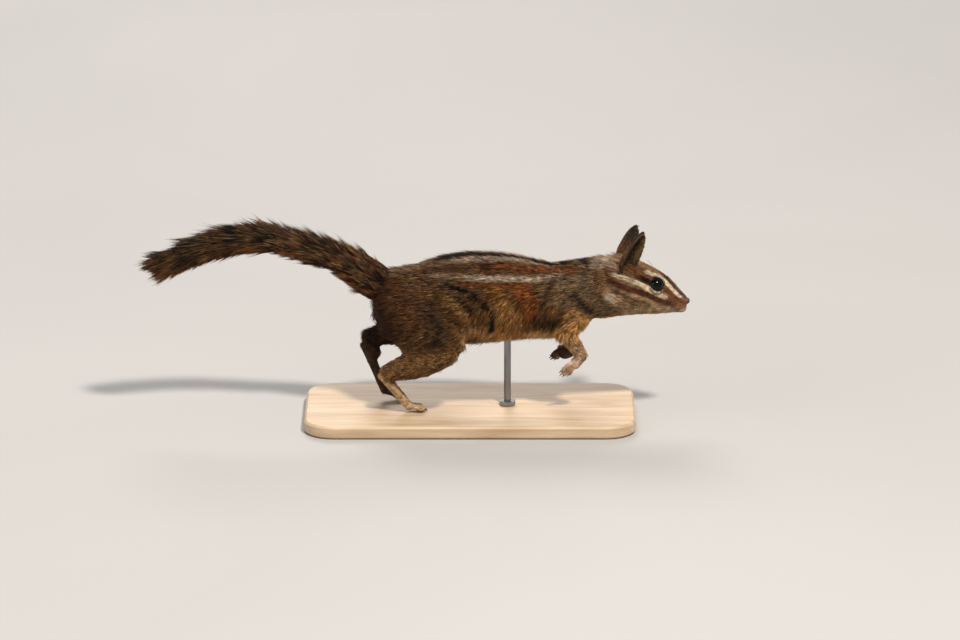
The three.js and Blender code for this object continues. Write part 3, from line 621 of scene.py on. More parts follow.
def coat_depth(p, w):
    """How deep the skin lies under the solids' surface, so that the hair brings it back to their size."""
    h = to_head(p)
    head = mix(1.15, 0.42, smooth(0, 24, h[:, 0]))
    head = mix(head, 0.30, smooth(24, 31, h[:, 0]))
    fore = mix(1.0, 0.45, smooth(34, 26, p[:, 2]))
    hind = mix(1.35, 0.45, smooth(32, 26, p[:, 2] - BASE_TOP))
    depths = {"torso": 1.55, "neck": 1.35, "head": head, "tail": 0.1, "foreleg": fore, "hindleg": hind}
    d = sum(part_weight(w, part) * depth for part, depth in depths.items())
    return d + total(w, PAWS) * 0.05 + total(w, COPIED) * SWELL


def face_detail(p, w):
    """Eye sockets with a raised rim, and the line of the mouth with its lips."""
    h = to_head(p)
    on_head = w["head"] > 0.3
    for side in (-1, 1):
        c = eye_frame(side)[0]
        d, e, z = lid_place(h, side)
        r = np.linalg.norm(d, axis=1)
        near = on_head & (z > -0.5) & (r < 7)
        raised = np.maximum(r, mix(EYE["radius"] + EYE["rim"], 0.0, smooth(1.5, 1.9, e)))
        want = np.where(e < 1.12, np.minimum(r, EYE["radius"] - EYE["socket"]), raised)
        h[near] = c + d[near] / r[near, None] * want[near, None]
    share, distance, _, _ = nearest_on(curve(MOUTH, 30), h[:, [0, 2]])
    crease = on_head * bell(distance / CREASE["half"]) * smooth(0, 0.06, share) * smooth(1.02, 0.8, share)
    lip = on_head * bell((distance - CREASE["lip_at"]) / CREASE["lip_half"]) * smooth(1.02, 0.7, share)
    inward = unit(h * (0, 1, 1) - (0, 0, CREASE["middle"]))
    h = h - inward * (CREASE["deep"] * crease - CREASE["lip"] * lip)[:, None]
    return np.where(on_head[:, None], from_head(h), p)


def build_skin():
    tubes, claws = paws()
    steps = TAIL_CURVE[: int(len(TAIL_CURVE) * TAIL["length"] / TAIL_LENGTH) : 2]
    radius = core_radius(np.linspace(0, TAIL["length"], len(steps)))
    pieces = [welded(name) for name in COPIED] + tubes + [tube(steps, radius, radius, TAIL["sides"])]
    pieces += [ball(np.array(c) + (0, 0, BASE_TOP), np.array(half)) for c, half in FLESH]
    for centre, half in MUZZLE:
        points, faces = ball(np.array(centre), np.array(half))
        pieces.append((from_head(points), faces))
    p, f, e = remeshed(*joined(pieces))
    w = region_weights(p, e)
    h = to_head(p)
    near_eye = 1 - fade("lids", eye_gap(h))
    muzzle = fade("calm_muzzle", h[:, 0]) * w["head"]
    calm = np.clip(1 - near_eye - 0.75 * total(w, PAWS) - 0.5 * muzzle, 0.12, 1)
    rounds, share = EVEN["shape"]
    p = spread(p, e, rounds, share * calm)
    n = spread(point_normals(p, f), e, EVEN["normals"])
    p = p - n * coat_depth(p, w)[:, None]
    rounds, share = EVEN["pressed"]
    p = spread(p, e, rounds, share * calm)
    return face_detail(p, w), f, e, w, claws


# The coat's markings. Each stroke is a line in the picture's pixels with its half width, softness, colour and
# strength.
TRUNK_STROKES = [
    ([(388, 296), (440, 300), (500, 312), (550, 310)], 60, 30, (88, 60, 35), 1.0),
    ([(372, 285), (384, 300), (386, 330)], 17, 13, (50, 29, 17), 1.0),
    ([(402, 300), (425, 330)], 22, 14, (80, 51, 31), 0.9),
    ([(428, 312), (436, 335), (430, 360)], 10, 9, (56, 41, 28), 0.9),
    ([(452, 300), (463, 322), (464, 342), (450, 362)], 3.5, 4, (128, 96, 60), 0.85),
    # Painted shade: a dark patch on the near shank, where the body shades it.
    ([(402, 352), (424, 358)], 7, 7, (60, 41, 25), 0.85),
    ([(400, 373), (425, 373), (445, 365)], 3, 3, (108, 78, 46), 0.8),
    ([(380, 272), (410, 266), (440, 262), (475, 262)], 6, 6, (104, 82, 63), 0.8),
    ([(410, 282), (440, 284), (470, 292)], 8, 7, (90, 67, 47), 0.6),
    # The buff lower edge of the flank: its own colour, painted lighter against the shade under the body.
    ([(468, 334), (500, 338), (540, 338), (575, 338)], 5, 4, (172, 134, 90), 0.9),
    ([(460, 262), (500, 262), (545, 265)], 6, 4, (112, 92, 76), 0.9),
    ([(452, 261.5), (470, 259), (490, 258), (525, 260), (552, 265)], 2.0, 1.6, (138, 117, 99), 0.95),
    ([(425, 272), (465, 267), (495, 266)], 3.3, 2.6, (74, 46, 29), 0.9),
    ([(480, 267.5), (505, 266.5), (530, 268), (560, 271.5), (592, 268)], 3.8, 1.8, (66, 34, 20), 0.95),
    ([(494, 266.5), (515, 266.5), (535, 269), (573, 271.5), (590, 268)], 2.5, 1.6, (108, 62, 38), 0.95),
    ([(430, 275), (455, 277), (468, 278)], 2.8, 2.5, (128, 106, 86), 0.8),
    ([(468, 277.8), (489, 279), (515, 279), (540, 279), (558, 277)], 3.2, 2.2, (164, 145, 126), 0.95),
    ([(462, 286), (495, 287), (520, 286.5)], 1.8, 1.2, (104, 52, 27), 0.9),
    ([(519, 290), (525, 303), (529, 317)], 8.0, 6, (112, 62, 32), 0.95),
    ([(492, 290), (500, 305), (500, 322)], 7, 7, (108, 70, 34), 0.75),
    ([(500, 318), (505, 336)], 15, 8, (150, 108, 66), 0.7),
    ([(445, 286.5), (453, 288.5), (462, 292)], 2.6, 1.1, (16, 10, 7), 1.0),
    ([(464, 290.5), (474, 296)], 1.6, 1.1, (18, 12, 8), 1.0),
    ([(454, 298), (463, 306), (470, 314)], 2.9, 1.3, (18, 12, 8), 1.0),
    ([(471, 298), (485, 308), (491, 319), (490, 332)], 2.7, 1.4, (18, 12, 8), 1.0),
]
SHOULDER_STROKES = [
    ([(534, 322), (545, 329), (556, 327)], 5, 5, (40, 28, 19), 0.85),
    ([(552, 290), (572, 300), (590, 305)], 16, 9, (100, 79, 58), 0.85),
    ([(556, 284), (580, 282), (598, 288)], 7, 5, (112, 92, 70), 0.7),
    ([(551, 282), (545, 293), (541, 306)], 2.6, 2.4, (52, 34, 22), 0.85),
    ([(571, 296), (579, 305), (588, 313)], 3.6, 2.6, (42, 32, 26), 0.85),
    ([(570, 318), (582, 326), (588, 338)], 7, 5, (176, 130, 74), 0.9),
    (
        [(434, 260.5), (455, 256), (480, 253.5), (510, 254), (530, 257), (551, 264)],
        1.8, 1.2, (24, 16, 11), 1.0,
    ),
    ([(579, 260), (585, 264), (588, 268)], 3.4, 2.2, (26, 17, 12), 0.95),
]
NECK_STROKES = [
    ([(595, 266), (605, 264), (618, 262)], 7, 5, (158, 139, 120), 0.9),
    ([(594, 272), (598, 286), (601, 300)], 5, 4, (108, 76, 48), 0.8),
    ([(606, 297.5), (613, 300), (621, 303)], 4.5, 4, (172, 154, 132), 0.9),
    ([(594, 290), (600, 300), (606, 310)], 2, 3, (70, 52, 36), 0.7),
    ([(590, 322), (625, 318), (662, 315)], 5, 4, (140, 104, 66), 0.85),
    ([(594, 264), (593, 275), (596, 287)], 1.4, 1.2, (52, 36, 26), 0.6),
    ([(596, 300), (599, 318)], 1.4, 1.2, (58, 40, 28), 0.5),
]
HEAD_STROKES = [
    ([(625, 262), (645, 266), (665, 280), (685, 300)], 14, 6, (128, 100, 74), 1.0),
    ([(620, 300), (645, 304), (664, 308)], 7, 4, (140, 112, 84), 0.95),
    ([(630, 296), (650, 300)], 3, 3, (150, 122, 94), 0.7),
    ([(668, 301), (680, 304), (690, 306)], 6, 4, (104, 66, 42), 0.9),
    ([(672, 309), (684, 311)], 2, 2, (78, 50, 34), 0.7),
    ([(626, 268), (638, 272), (648, 280)], 6, 3, (112, 72, 46), 0.9),
    ([(636, 277), (646, 281), (652, 284)], 3.4, 2, (58, 36, 24), 0.9),
    ([(642, 278.5), (648, 281), (652, 283)], 2.2, 1.3, (22, 14, 10), 1.0),
    ([(663, 288), (669, 292), (677, 298), (684, 303)], 2.5, 1.8, (94, 54, 32), 0.9),
    (
        [(600, 268), (608, 280), (620, 287), (634, 291), (646, 295), (657, 300), (668, 304)],
        2.9, 1.5, (72, 39, 22), 0.95,
    ),
    ([(624, 302), (634, 305), (648, 308)], 1.5, 1.8, (84, 62, 44), 0.6),
    ([(603, 268), (607, 276)], 4.5, 3, (104, 62, 36), 0.8),
    (
        [(613, 274.5), (628, 280), (640, 285), (650, 290.8), (658, 294.6), (664, 297)],
        2.5, 1.2, (204, 184, 156), 0.97,
    ),
    (
        [(645, 271.5), (651, 273.5), (658, 276.3), (665.5, 281.3), (671, 287.3), (676, 292.3), (680, 296.0)],
        1.9, 1.0, (206, 188, 164), 0.97,
    ),
    (
        [(640, 259), (652, 265), (660, 270.5), (667.5, 278), (676.5, 288.5), (686, 297)],
        1.7, 1.2, (58, 39, 28), 0.9,
    ),
    ([(628, 252), (645, 258), (658, 266)], 2.5, 2.5, (94, 74, 58), 0.8),
    ([(614, 292), (624, 297), (634, 301), (644, 303)], 1.7, 1.8, (84, 58, 40), 0.8),
]
RAGGED = {"trunk": 0.4, "head": 0.2, "wave": 5.0}


def paint(ground, uv, strokes, ragged):
    """Colours of points in the picture: strokes laid one over the other, with uneven edges."""
    colour = TINT[ground]
    q = uv + np.stack([ripple(uv, RAGGED["wave"], seed) for seed in SEEDS["ragged"]], 1) * ragged
    for points, half, soft, rgb, strength in strokes:
        line = curve(points, 14) if len(points) > 2 else np.array(points, float)
        distance = nearest_on(line, q)[1]
        w = (1 - smooth(half - soft * 0.6, half + soft * 0.6, distance)) * strength
        colour = blend(colour, srgb(*rgb), w)
    return colour


def paint_limbs(colour, p, w):
    """The legs' own colours, with painted shade on the far legs' inner side, which the camera sees in shade.
    """
    z = p[:, 2] - BASE_TOP
    for side in SIDE:
        near = np.ones(len(p))
        if side == "left":
            for lines, _, _, _ in LIMBS:
                _, distance, foot, _ = nearest_on(limb_line(lines, side, 24), p)
                own = (distance < 16) & ((lines is FORELEG) == (p[:, 0] > 10))
                # The share of the lit colour: the far legs' inner side gets the painted shade.
                near = np.where(own, fade("outer_side", p[:, 1] - foot[:, 1]), near)
        lit = dict.fromkeys(("arm", "forearm", "forepaw", "shank", "hindfoot"), near)
        if side == "left":
            # Painted shade: the far forepaw is painted mostly in its shaded colour.
            lit["forepaw"] = near * 0.25
        tint = {part: blend(TINT[part + "_far"], TINT[part], share) for part, share in lit.items()}
        fore = blend(tint["arm"], tint["forearm"], fade("forearm", z))
        fore = blend(TINT["shoulder"], fore, fade("upper_arm", z))
        colour = blend(colour, fore, w["foreleg_" + side])
        colour = blend(colour, tint["forepaw"], w["forepaw_" + side])
        colour = blend(colour, tint["shank"], fade("shank_" + side, z) * w["hindleg_" + side])
        colour = blend(colour, tint["hindfoot"], w["hindfoot_" + side])
    return colour


def markings(p, w):
    """Colours of the coat and the skin at points, from the same strokes. w holds the region weights."""
    uv, h = side_view(p), to_head(p)
    u, v = uv.T
    y = np.abs(p[:, 1])
    colour = paint("trunk", uv, TRUNK_STROKES + SHOULDER_STROKES, RAGGED["trunk"])
    ridge = fade("ridge_half", y) * fade("ridge_start_u", u) * fade("ridge_end_u", u)
    colour = blend(colour, TINT["ridge"], ridge * fade("ridge_v", v))
    under = fade("belly", p[:, 2] - BASE_TOP) * (1 - fade("belly_half", y)) * fade("belly_start", p[:, 0])
    colour = blend(colour, TINT["belly"], under * w["torso"])
    neck = paint("neck", uv, SHOULDER_STROKES + NECK_STROKES, RAGGED["trunk"])
    fore = mix(w["neck"], 1.0, fade("neck_u", u) * (w["torso"] + w["neck"]))
    colour = blend(colour, neck, np.clip(fore, 0, 1))
    face = paint("face", uv, NECK_STROKES + HEAD_STROKES, RAGGED["head"])
    crown = fade("crown_half", np.abs(h[:, 1])) * fade("crown", h[:, 2]) * fade("crown_end", h[:, 0])
    face = blend(face, TINT["crown"], crown * 0.6)
    chin = fade("chin", h[:, 2] - 0.12 * h[:, 0]) * fade("chin_start", h[:, 0])
    face = blend(face, TINT["chin"], chin * 0.7)
    colour = paint_limbs(blend(colour, face, w["head"]), p, w)
    streaked = fade("streaks_v", v) * fade("streaks_start_u", u) * fade("streaks_end_u", u)
    even, fine, drawn = SEEDS["mottle"]
    mottle = 1 + 0.16 * ripple(uv, 11.0, even) + 0.16 * ripple(uv * (0.45, 1.0), 4.5, fine) * (1 - streaked)
    mottle = mottle + 0.28 * streaked * ripple(uv * (1.0, 0.24), 4.5, drawn)
    colour = colour * np.clip(mottle, 0.45, 1.7)[:, None]
    colour = np.clip(mix((colour @ GREY)[:, None], colour, RICHER), 0.0, 1.0)
    return blend(colour, TINT["tail"], w["tail"])


def lie(p, normals, w, edges):
    """The direction in which the hair lies, along the surface."""
    u, v = side_view(p).T
    flank = fade("flank_v", v) * fade("flank_start_u", u) * fade("flank_end_u", u)
    back, down = np.array([-1.0, 0, -0.16]), np.array([-0.50, 0, -0.9])
    d = blend(back, down, flank) * w["torso"][:, None]
    d += np.array([-1.0, 0, -0.35]) * w["neck"][:, None]
    away = unit(to_head(p) - np.array([37.0, 0, -1.5]))
    away = unit(away + np.array([-0.5, 0, 0.0]))
    d += (away @ HEAD_TURN.T) * w["head"][:, None]
    for side in SIDE:
        for lines, _, leg, paw in LIMBS:
            share, _, _, ahead = nearest_on(limb_line(lines, side), p)
            if lines is FORELEG:
                top = np.array([-0.75, 0, -0.6])
                turn = smooth(0.18, 0.4, share)
            else:
                top = np.array([-1.0, 0, -0.22])
                turn = smooth(0.42, 0.52, share) * fade("thigh", p[:, 2] - BASE_TOP + 4)
            d += blend(top, ahead, turn) * (w[f"{leg}_{side}"] + w[f"{paw}_{side}"])[:, None]
    d += nearest_on(TAIL_CURVE, p)[3] * w["tail"][:, None]
    return flat(spread(flat(d, normals), edges, EVEN["lie"]), normals)


# Tufts: thin three-sided closed blades, many to a mesh.
def tuft_meshes(name, hair, uv, material, sink):
    """hair holds, per tuft: root, normal, direction, length, width, the angles off the skin along the blade,
    and the colours from its root to its tip."""
    roots, normals, ahead, length, width, lifts, tint = hair
    n, bends = len(roots), len(lifts)
    across = unit(np.cross(ahead, normals))
    spine = [roots - normals * sink]
    for lift in lifts:
        step = ahead * np.cos(lift)[:, None] + normals * np.sin(lift)[:, None]
        spine.append(spine[-1] + step * (length / bends)[:, None])
    rings = []
    for k in range(bends):
        w = (width * (1.0 - 0.35 * (k / bends)) * 0.5)[:, None]
        at = spine[k]
        rings.append(np.stack([at + across * w, at - across * w, at + normals * w * 0.9], 1))
    verts = np.concatenate(rings + [spine[-1][:, None]], 1)
    tip = 3 * bends
    faces = [(0, 2, 1)]
    for a in range(0, tip - 3, 3):
        for i, j in ((0, 1), (1, 2), (2, 0)):
            faces += [(a + i, a + j, a + 3 + j), (a + i, a + 3 + j, a + 3 + i)]
    faces += [(tip - 3, tip - 2, tip), (tip - 2, tip - 1, tip), (tip - 1, tip - 3, tip)]
    faces = facing_out(verts[0], np.array(faces))
    ring = [k for k in range(bends) for _ in range(3)] + [bends]
    patch = np.stack([[-0.5, 0.5, 0.0] * bends + [0.0], np.array(ring) / bends - 0.5], 1) * 0.003
    colour = np.clip(np.stack(tint, 1), 0.0, 1.0)[:, ring]
    places = np.clip(uv, 0.003, 0.997)[:, None] + patch[None]
    count = math.ceil(n / (TUFT_FACES // len(faces)))
    for c in range(count):
        part = np.arange(n * c // count, n * (c + 1) // count)
        all_faces = (faces[None] + (np.arange(len(part)) * (tip + 1))[:, None, None]).reshape(-1, 3)
        piece = mesh_object(
            f"{name}_{c + 1}", verts[part].reshape(-1, 3), all_faces, colour[part].reshape(-1, 3),
            places[part].reshape(-1, 2), material,
        )
        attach(piece, BODY)


def chosen(hair, k):
    """Some of the tufts: each array of hair, or each array in a list, at the places k."""
    return [[x[k] for x in values] if isinstance(values, list) else values[k] for values in hair]


def clumped(roots, normals, ahead, length, every, pull, seed):
    """Turns each tuft towards the tip of its nearest leader, so that hair gathers into locks."""
    rng = np.random.default_rng(seed)
    leaders = rng.choice(len(roots), max(len(roots) // every, 1), replace=False)
    tree = search_tree(roots[leaders])
    own = np.array([leaders[tree.find(r)[1]] for r in roots])
    tip = roots[own] + ahead[own] * (length[own] * 1.05)[:, None]
    turned = unit(mix(ahead, unit(tip - roots), pull))
    return flat(turned, normals), own


def scatter(p, f, density, rng):
    """Random roots on the quads with a number per square millimetre at each point."""
    index = np.concatenate([f[:, [0, 1, 2]], f[:, [0, 2, 3]]])
    want = areas(p[index]) * density[index].mean(1)
    number = np.floor(want + rng.random(len(want))).astype(int)
    pick = np.repeat(np.arange(len(want)), number)
    r = random_corners(len(pick), rng)
    return index[pick], np.stack([1 - r.sum(1), r[:, 0], r[:, 1]], 1)


# Materials: each has its own node tree for colour, roughness and relief.
def wire(tree, target, **inputs):
    """Gives a node's inputs their values, or joins them to other nodes' outputs."""
    for name, value in inputs.items():
        socket = target.inputs[name.replace("_", " ")]
        if isinstance(value, bpy.types.NodeSocket):
            tree.links.new(value, socket)
        else:
            socket.default_value = value


def node(tree, kind, **inputs):
    made = tree.nodes.new("ShaderNode" + kind)
    wire(tree, made, **inputs)
    return made


def swing(tree, noise, middle, by):
    """A number that follows a noise from middle - by to middle + by."""
    span = node(tree, "MapRange", To_Min=middle - by, To_Max=middle + by, Value=noise.outputs["Fac"])
    return span.outputs["Result"]


def relief(tree, noise, strength, distance):
    bump = node(tree, "Bump", Strength=strength, Distance=distance, Height=noise.outputs["Fac"])
    return bump.outputs["Normal"]


def new_material(name):
    mat = bpy.data.materials.new(name)
    mat.use_nodes = True
    tree = mat.node_tree
    return mat, tree, tree.nodes["Principled BSDF"], node(tree, "TexCoord").outputs["Object"]


def tinted(name, roughness, specular, scale, depth, bump=0.0, bump_scale=0.0, **more):
    """Colour from the mesh's own tint, varied by noise, with a fine relief."""
    mat, tree, shader, place = new_material(name)
    noise = node(tree, "TexNoise", Vector=place, Scale=scale, Detail=4)
    tint = node(tree, "Attribute")
    tint.attribute_name = "tint"
    times = node(tree, "VectorMath")
    times.operation = "SCALE"
    wire(tree, times, Vector=tint.outputs["Color"], Scale=swing(tree, noise, 1, depth))
    wire(tree, shader, Base_Color=times.outputs["Vector"], Roughness=swing(tree, noise, roughness, 0.08))
    wire(tree, shader, Specular_IOR_Level=specular, **more)
    if bump:
        fine = node(tree, "TexNoise", Vector=place, Scale=bump_scale, Detail=3)
        wire(tree, shader, Normal=relief(tree, fine, bump, 0.0003))
    return mat


def banded(name, dark, light, scale, stretch, roughness, metallic=0.0, bump=0.2, coat=0.0):
    """Two colours in drawn-out noise, for wood grain and brushed metal."""
    mat, tree, shader, place = new_material(name)
    drawn = node(tree, "Mapping", Vector=place, Scale=stretch).outputs["Vector"]
    noise = node(tree, "TexNoise", Vector=drawn, Scale=scale, Detail=6, Distortion=0.6)
    ramp = node(tree, "ValToRGB", Fac=noise.outputs["Fac"])
    for element, position, rgb in zip(ramp.color_ramp.elements, (0.3, 0.7), (dark, light)):
        element.position = position
        element.color = (*srgb(*rgb), 1)
    wire(tree, shader, Base_Color=ramp.outputs["Color"], Roughness=swing(tree, noise, roughness, 0.07))
    wire(tree, shader, Normal=relief(tree, noise, bump, 0.0002), Metallic=metallic, Coat_Weight=coat)
    return mat


MATERIALS = {
    "coat": tinted("coat", 0.66, 0.14, 260.0, 0.22),
    "skin": tinted("skin", 0.70, 0.22, 420.0, 0.20, 0.5, 1500.0),
    "leather": tinted("leather", 0.48, 0.40, 700.0, 0.18, 0.6, 2600.0),
    "eye": tinted("eye", 0.13, 0.12, 300.0, 0.25, Coat_Weight=0.15, Coat_Roughness=0.03),
    "claw": tinted("claw", 0.34, 0.45, 900.0, 0.25),
    "wood": banded("wood", (176, 146, 112), (206, 180, 148), 26.0, (1.0, 9.0, 9.0), 0.46, 0.0, 0.12, 0.15),
    "steel": banded("steel", (126, 128, 132), (172, 174, 178), 60.0, (6.0, 6.0, 0.7), 0.32, 1.0, 0.15),
    "floor": banded("floor_paint", (172, 168, 164), (178, 174, 170), 3.0, (1.0, 1.0, 1.0), 0.8, 0.0, 0.02),
}

skin_p, skin_f, skin_e, weights, claw_tubes = build_skin()
skin_n = point_normals(skin_p, skin_f)
flow = lie(skin_p, spread(skin_n, skin_e, EVEN["under_hair"]), weights, skin_e)


def skin_tint():
    """The coat's colours on the skin, with painted shade: darker where long hair covers it."""
    colour = markings(skin_p + skin_n * (coat_depth(skin_p, weights) * 0.7)[:, None], weights)
    h = to_head(skin_p)
    bare = fade("bare_nose", h[:, 0]) * weights["head"]
    light = total(weights, PAWS) + bare + fade("near_eye", eye_gap(h)) + 0.6 * weights["head"]
    # Painted shade under the coat: the skin is darkened down to 0.62 where hair covers it.
    return colour * mix(0.62, 1.0, np.clip(light, 0, 1))[:, None]


def lids():
    """A rolled lid round each eye, as part of the skin's own mesh."""
    rings = []
    angle = np.linspace(0, 2 * math.pi, LID["steps"], endpoint=False)
    round_it = np.linspace(0, 2 * math.pi, LID["sides"], endpoint=False)
    index = np.arange(LID["steps"] * LID["sides"]).reshape(LID["steps"], LID["sides"])
    ahead = np.roll(index, -1, 0)
    faces = np.stack([index, ahead, np.roll(ahead, -1, 1), np.roll(index, -1, 1)], 2).reshape(-1, 4)
    for side in (-1, 1):
        c, long, tall, out = eye_frame(side)
        la, lb = lid_profile(angle)
        level = np.outer(la * LID["long"], long) + np.outer(lb * LID["tall"], tall)
        r = EYE["radius"] + LID["over"]
        rise = np.sqrt(np.maximum(r * r - (level**2).sum(1), 0.3))
        centre = level + np.outer(rise, out)
        away = unit(centre)
        sidewise = np.cross(unit(np.roll(centre, -1, 0) - np.roll(centre, 1, 0)), away)
        points = (
            centre[:, None]
            + away[:, None] * (np.sin(round_it) * LID["radius"] * LID["flat"])[None, :, None]
            + sidewise[:, None] * (np.cos(round_it) * LID["radius"])[None, :, None]
        )
        points = from_head((points + c).reshape(-1, 3))
        rings.append((points, facing_out(points, faces)))
    return joined(rings)


lid_p, lid_f = lids()
skin_colours = np.vstack([skin_tint(), np.tile(TINT["lid"], (len(lid_p), 1))])
skin_points, skin_faces = joined([(skin_p, skin_f), (lid_p, lid_f)])
skin = mesh_object("skin", skin_points, skin_faces, skin_colours, material=MATERIALS["skin"])
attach(skin, BODY)
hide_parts(*COPIED, *PAWS, *TAILS)

claws = mesh_object("claws", *joined(claw_tubes), TINT["claw"], material=MATERIALS["claw"])
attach(claws, BODY)


# Eyes and nose.
def eyes():
    for name, side in SIDE.items():
        c, long, tall, out = eye_frame(side)
        points, faces = ball(np.zeros(3), np.ones(3) * EYE["radius"], EYE["rows"], EYE["columns"])
        turned = points @ np.stack([out, long, tall])
        depth = points[:, 0] / EYE["radius"]
        bulge = 1 + 0.03 * smooth(0.6, 0.95, depth)
        tint = blend(TINT["iris"], TINT["pupil"], smooth(0.45, 0.75, depth))
        points = from_head(turned * bulge[:, None] + c)
        o = mesh_object("eyeball_" + name, points, facing_out(points, faces), tint, material=MATERIALS["eye"])
        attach(o, BODY)
        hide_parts("eye_" + name)


def nose():
    points, faces = ball(np.zeros(3), np.ones(3), EYE["rows"], EYE["columns"])
    q = points * np.array(NOSE["half"])
    q[:, 1] *= mix(1.0, NOSE["chin_width"], smooth(0.2, -1.2, q[:, 2]))
    dent = np.zeros(len(q))
    for side in (-1, 1):
        d = (q - np.array([NOSE["ahead"], side * NOSE["apart"], NOSE["below"]])) * (1.0, 1.0, NOSE["tall"])
        dent = np.maximum(dent, bell(np.linalg.norm(d, axis=1) / NOSE["nostril"]))
    groove = bell(q[:, 1] / NOSE["groove_half"]) * smooth(0.2, -0.4, q[:, 2]) * smooth(0.2, 0.9, q[:, 0])
    q = q - unit(q) * (NOSE["dent"] * dent + NOSE["groove"] * groove)[:, None]
    # Painted shade: the nostril dents and the groove between them are painted dark for the shade inside them.
    tint = blend(TINT["nose"], TINT["nostril"], np.clip(dent + 0.6 * groove, 0, 1))
    points = from_head(q + np.array(NOSE["centre"]))
    o = mesh_object("nose_pad", points, faces, tint, material=MATERIALS["leather"])
    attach(o, BODY)
    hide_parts("nose")


eyes()
nose()


# Ears: a thin cupped leaf with a rounded rim, its inside bare skin and its outside coated.
def ear_leaf(places, u, v, shell):
    """u runs across from -1 to 1, v from below the root to the tip. Arrays of equal length."""
    root = np.array(places["root"])
    upward = np.array(places["tip"]) - root
    height = np.linalg.norm(upward)
    upward = upward / height
    facing = np.array(places["facing"])
    facing = unit(facing - upward * (facing @ upward))
    across = np.cross(upward, facing)
    widest = EAR["widest"]
    outline = np.sqrt(np.maximum(0.004, 1 - np.abs((v - widest) / 0.7) ** 2.4))
    lower = 1 - 0.55 * (np.maximum(widest - v, 0) / widest) ** 2
    width = places["half"] * np.where(v < widest, lower, outline)
    bend = np.radians(mix(EAR["cup"], EAR["tip"], v))
    radius = width / np.sin(bend) + shell
    rise = v * height * (1 - 0.05 * u * u)
    off = (width / np.sin(bend)) * np.cos(bend * 0.9) - radius * np.cos(u * bend)
    return root + np.outer(rise, upward) + np.outer(radius * np.sin(u * bend), across) + np.outer(off, facing)


def build_ear(name):
    places, thick = EARS[name], EAR["thick"]
    columns, rows = EAR["columns"], EAR["rows"]
    u, v = np.meshgrid(np.linspace(-1, 1, columns + 1), np.linspace(-EAR["below"], 1, rows + 1))
    u, v = u.ravel(), v.ravel()
    thin = thick * mix(EAR["edge"], 1.0, smooth(0.0, 0.3, np.minimum(1 - np.abs(u), (1 - v) * 1.6)))
    points = np.vstack([ear_leaf(places, u, v, (thick + by) / 2) for by in (-thin, thin)])
    index = np.arange(len(u)).reshape(rows + 1, columns + 1)
    per = len(u)
    a, b, d, c = (x.ravel() for x in (index[:-1, :-1], index[:-1, 1:], index[1:, :-1], index[1:, 1:]))
    faces = [np.stack([a, b, c, d], 1), np.stack([a, d, c, b], 1) + per]
    for edge, order in ((index[:, 0], 1), (index[:, -1], -1), (index[0], -1), (index[-1], 1)):
        here, there = edge[:-1], edge[1:]
        strip = [here, there, there + per, here + per]
        faces.append(np.stack(strip if order > 0 else [strip[0], *strip[:0:-1]], 1))
    faces = facing_out(points, np.vstack(faces))
    shade_in = blend(TINT["ear_in_low"], TINT["ear_in_high"], smooth(0.2, 0.9, v))
    shade_out = blend(TINT["ear_out_low"], TINT["ear_out_high"], smooth(0.3, 0.9, v))
    tint = np.vstack([shade_in, shade_out]) * EAR["shade"]
    o = mesh_object("ear_shell_" + name, from_head(points), faces, tint, material=MATERIALS["leather"])
    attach(o, BODY)
    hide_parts("ear_" + name)


def ear_coat(name, face):
    """Short hair over one face of an ear, lying towards its tip and its edges."""
    outside = face == "outside"
    places, number = EARS[name], EAR_HAIR[face]
    rng = np.random.default_rng(SEEDS["ear_" + face])
    u = rng.uniform(-1, 1, number)
    v = rng.uniform(-0.12, 0.99, number)
    if not outside:
        u = np.sign(u) * np.abs(u) ** 0.55
    shell = EAR["thick"] * (0.98 if outside else 0.02)
    p = ear_leaf(places, u, v, shell)
    step = 0.02
    du = ear_leaf(places, u + step, v, shell) - p
    dv = ear_leaf(places, u, v + step, shell) - p
    normal = unit(np.cross(du, dv))
    outer = ear_leaf(places, u, v, shell + 0.3) - p
    normal = normal * np.sign((normal * outer).sum(1))[:, None] * (1 if outside else -1)
    sideways = (0.25 if outside else -0.5) * np.sign(u)[:, None] * unit(du)
    ahead = unit(dv + sideways * np.linalg.norm(dv, axis=1)[:, None])
    p, normal, ahead = from_head(p), normal @ HEAD_TURN.T, ahead @ HEAD_TURN.T
    ahead = strayed(ahead, normal, EAR_HAIR["stray"], rng)
    length = rng.uniform(1.0, 1.7, number) * (1 if outside else 1.25) * mix(1.2, 0.8, v)
    width = rng.uniform(0.22, 0.32, number)
    lifts = [np.radians(rng.normal(lift, 5, number)) for lift in EAR_HAIR["lifts"]]
    if outside:
        base = blend(TINT["ear_warm"], TINT["ear_dark"], smooth(0.25, 0.7, v + 0.15 * u))
        if name == "right":
            base = blend(base, TINT["ear_grey"], smooth(0.2, 0.9, u) * 0.35)
    else:
        fringe = smooth(0.3, 0.95, np.abs(u)) * smooth(0.0, 0.5, v)
        base = blend(TINT["ear_deep"], TINT["ear_fringe"], fringe)
    vary = rng.normal(1, 0.22, (number, 1))
    tips = np.where(rng.random((number, 1)) < EAR_HAIR["pale"], TINT["ear_pale"], base)
    tint = [base * vary * 0.7, base * vary, mix(base, tips, 0.6) * vary]
    uv = np.stack([(v + 0.2) / 1.25, 0.25 + 0.2 * u + (0.5 if outside else 0)], 1)
    label = ("ear_coat_out_" if outside else "ear_coat_in_") + name
    hair = [p, normal, ahead, length, width, lifts, tint]
    tuft_meshes(label, hair, uv, MATERIALS["coat"], EAR_HAIR["sink"])


for ear_name in EARS:
    build_ear(ear_name)
    ear_coat(ear_name, "outside")
    ear_coat(ear_name, "inside")


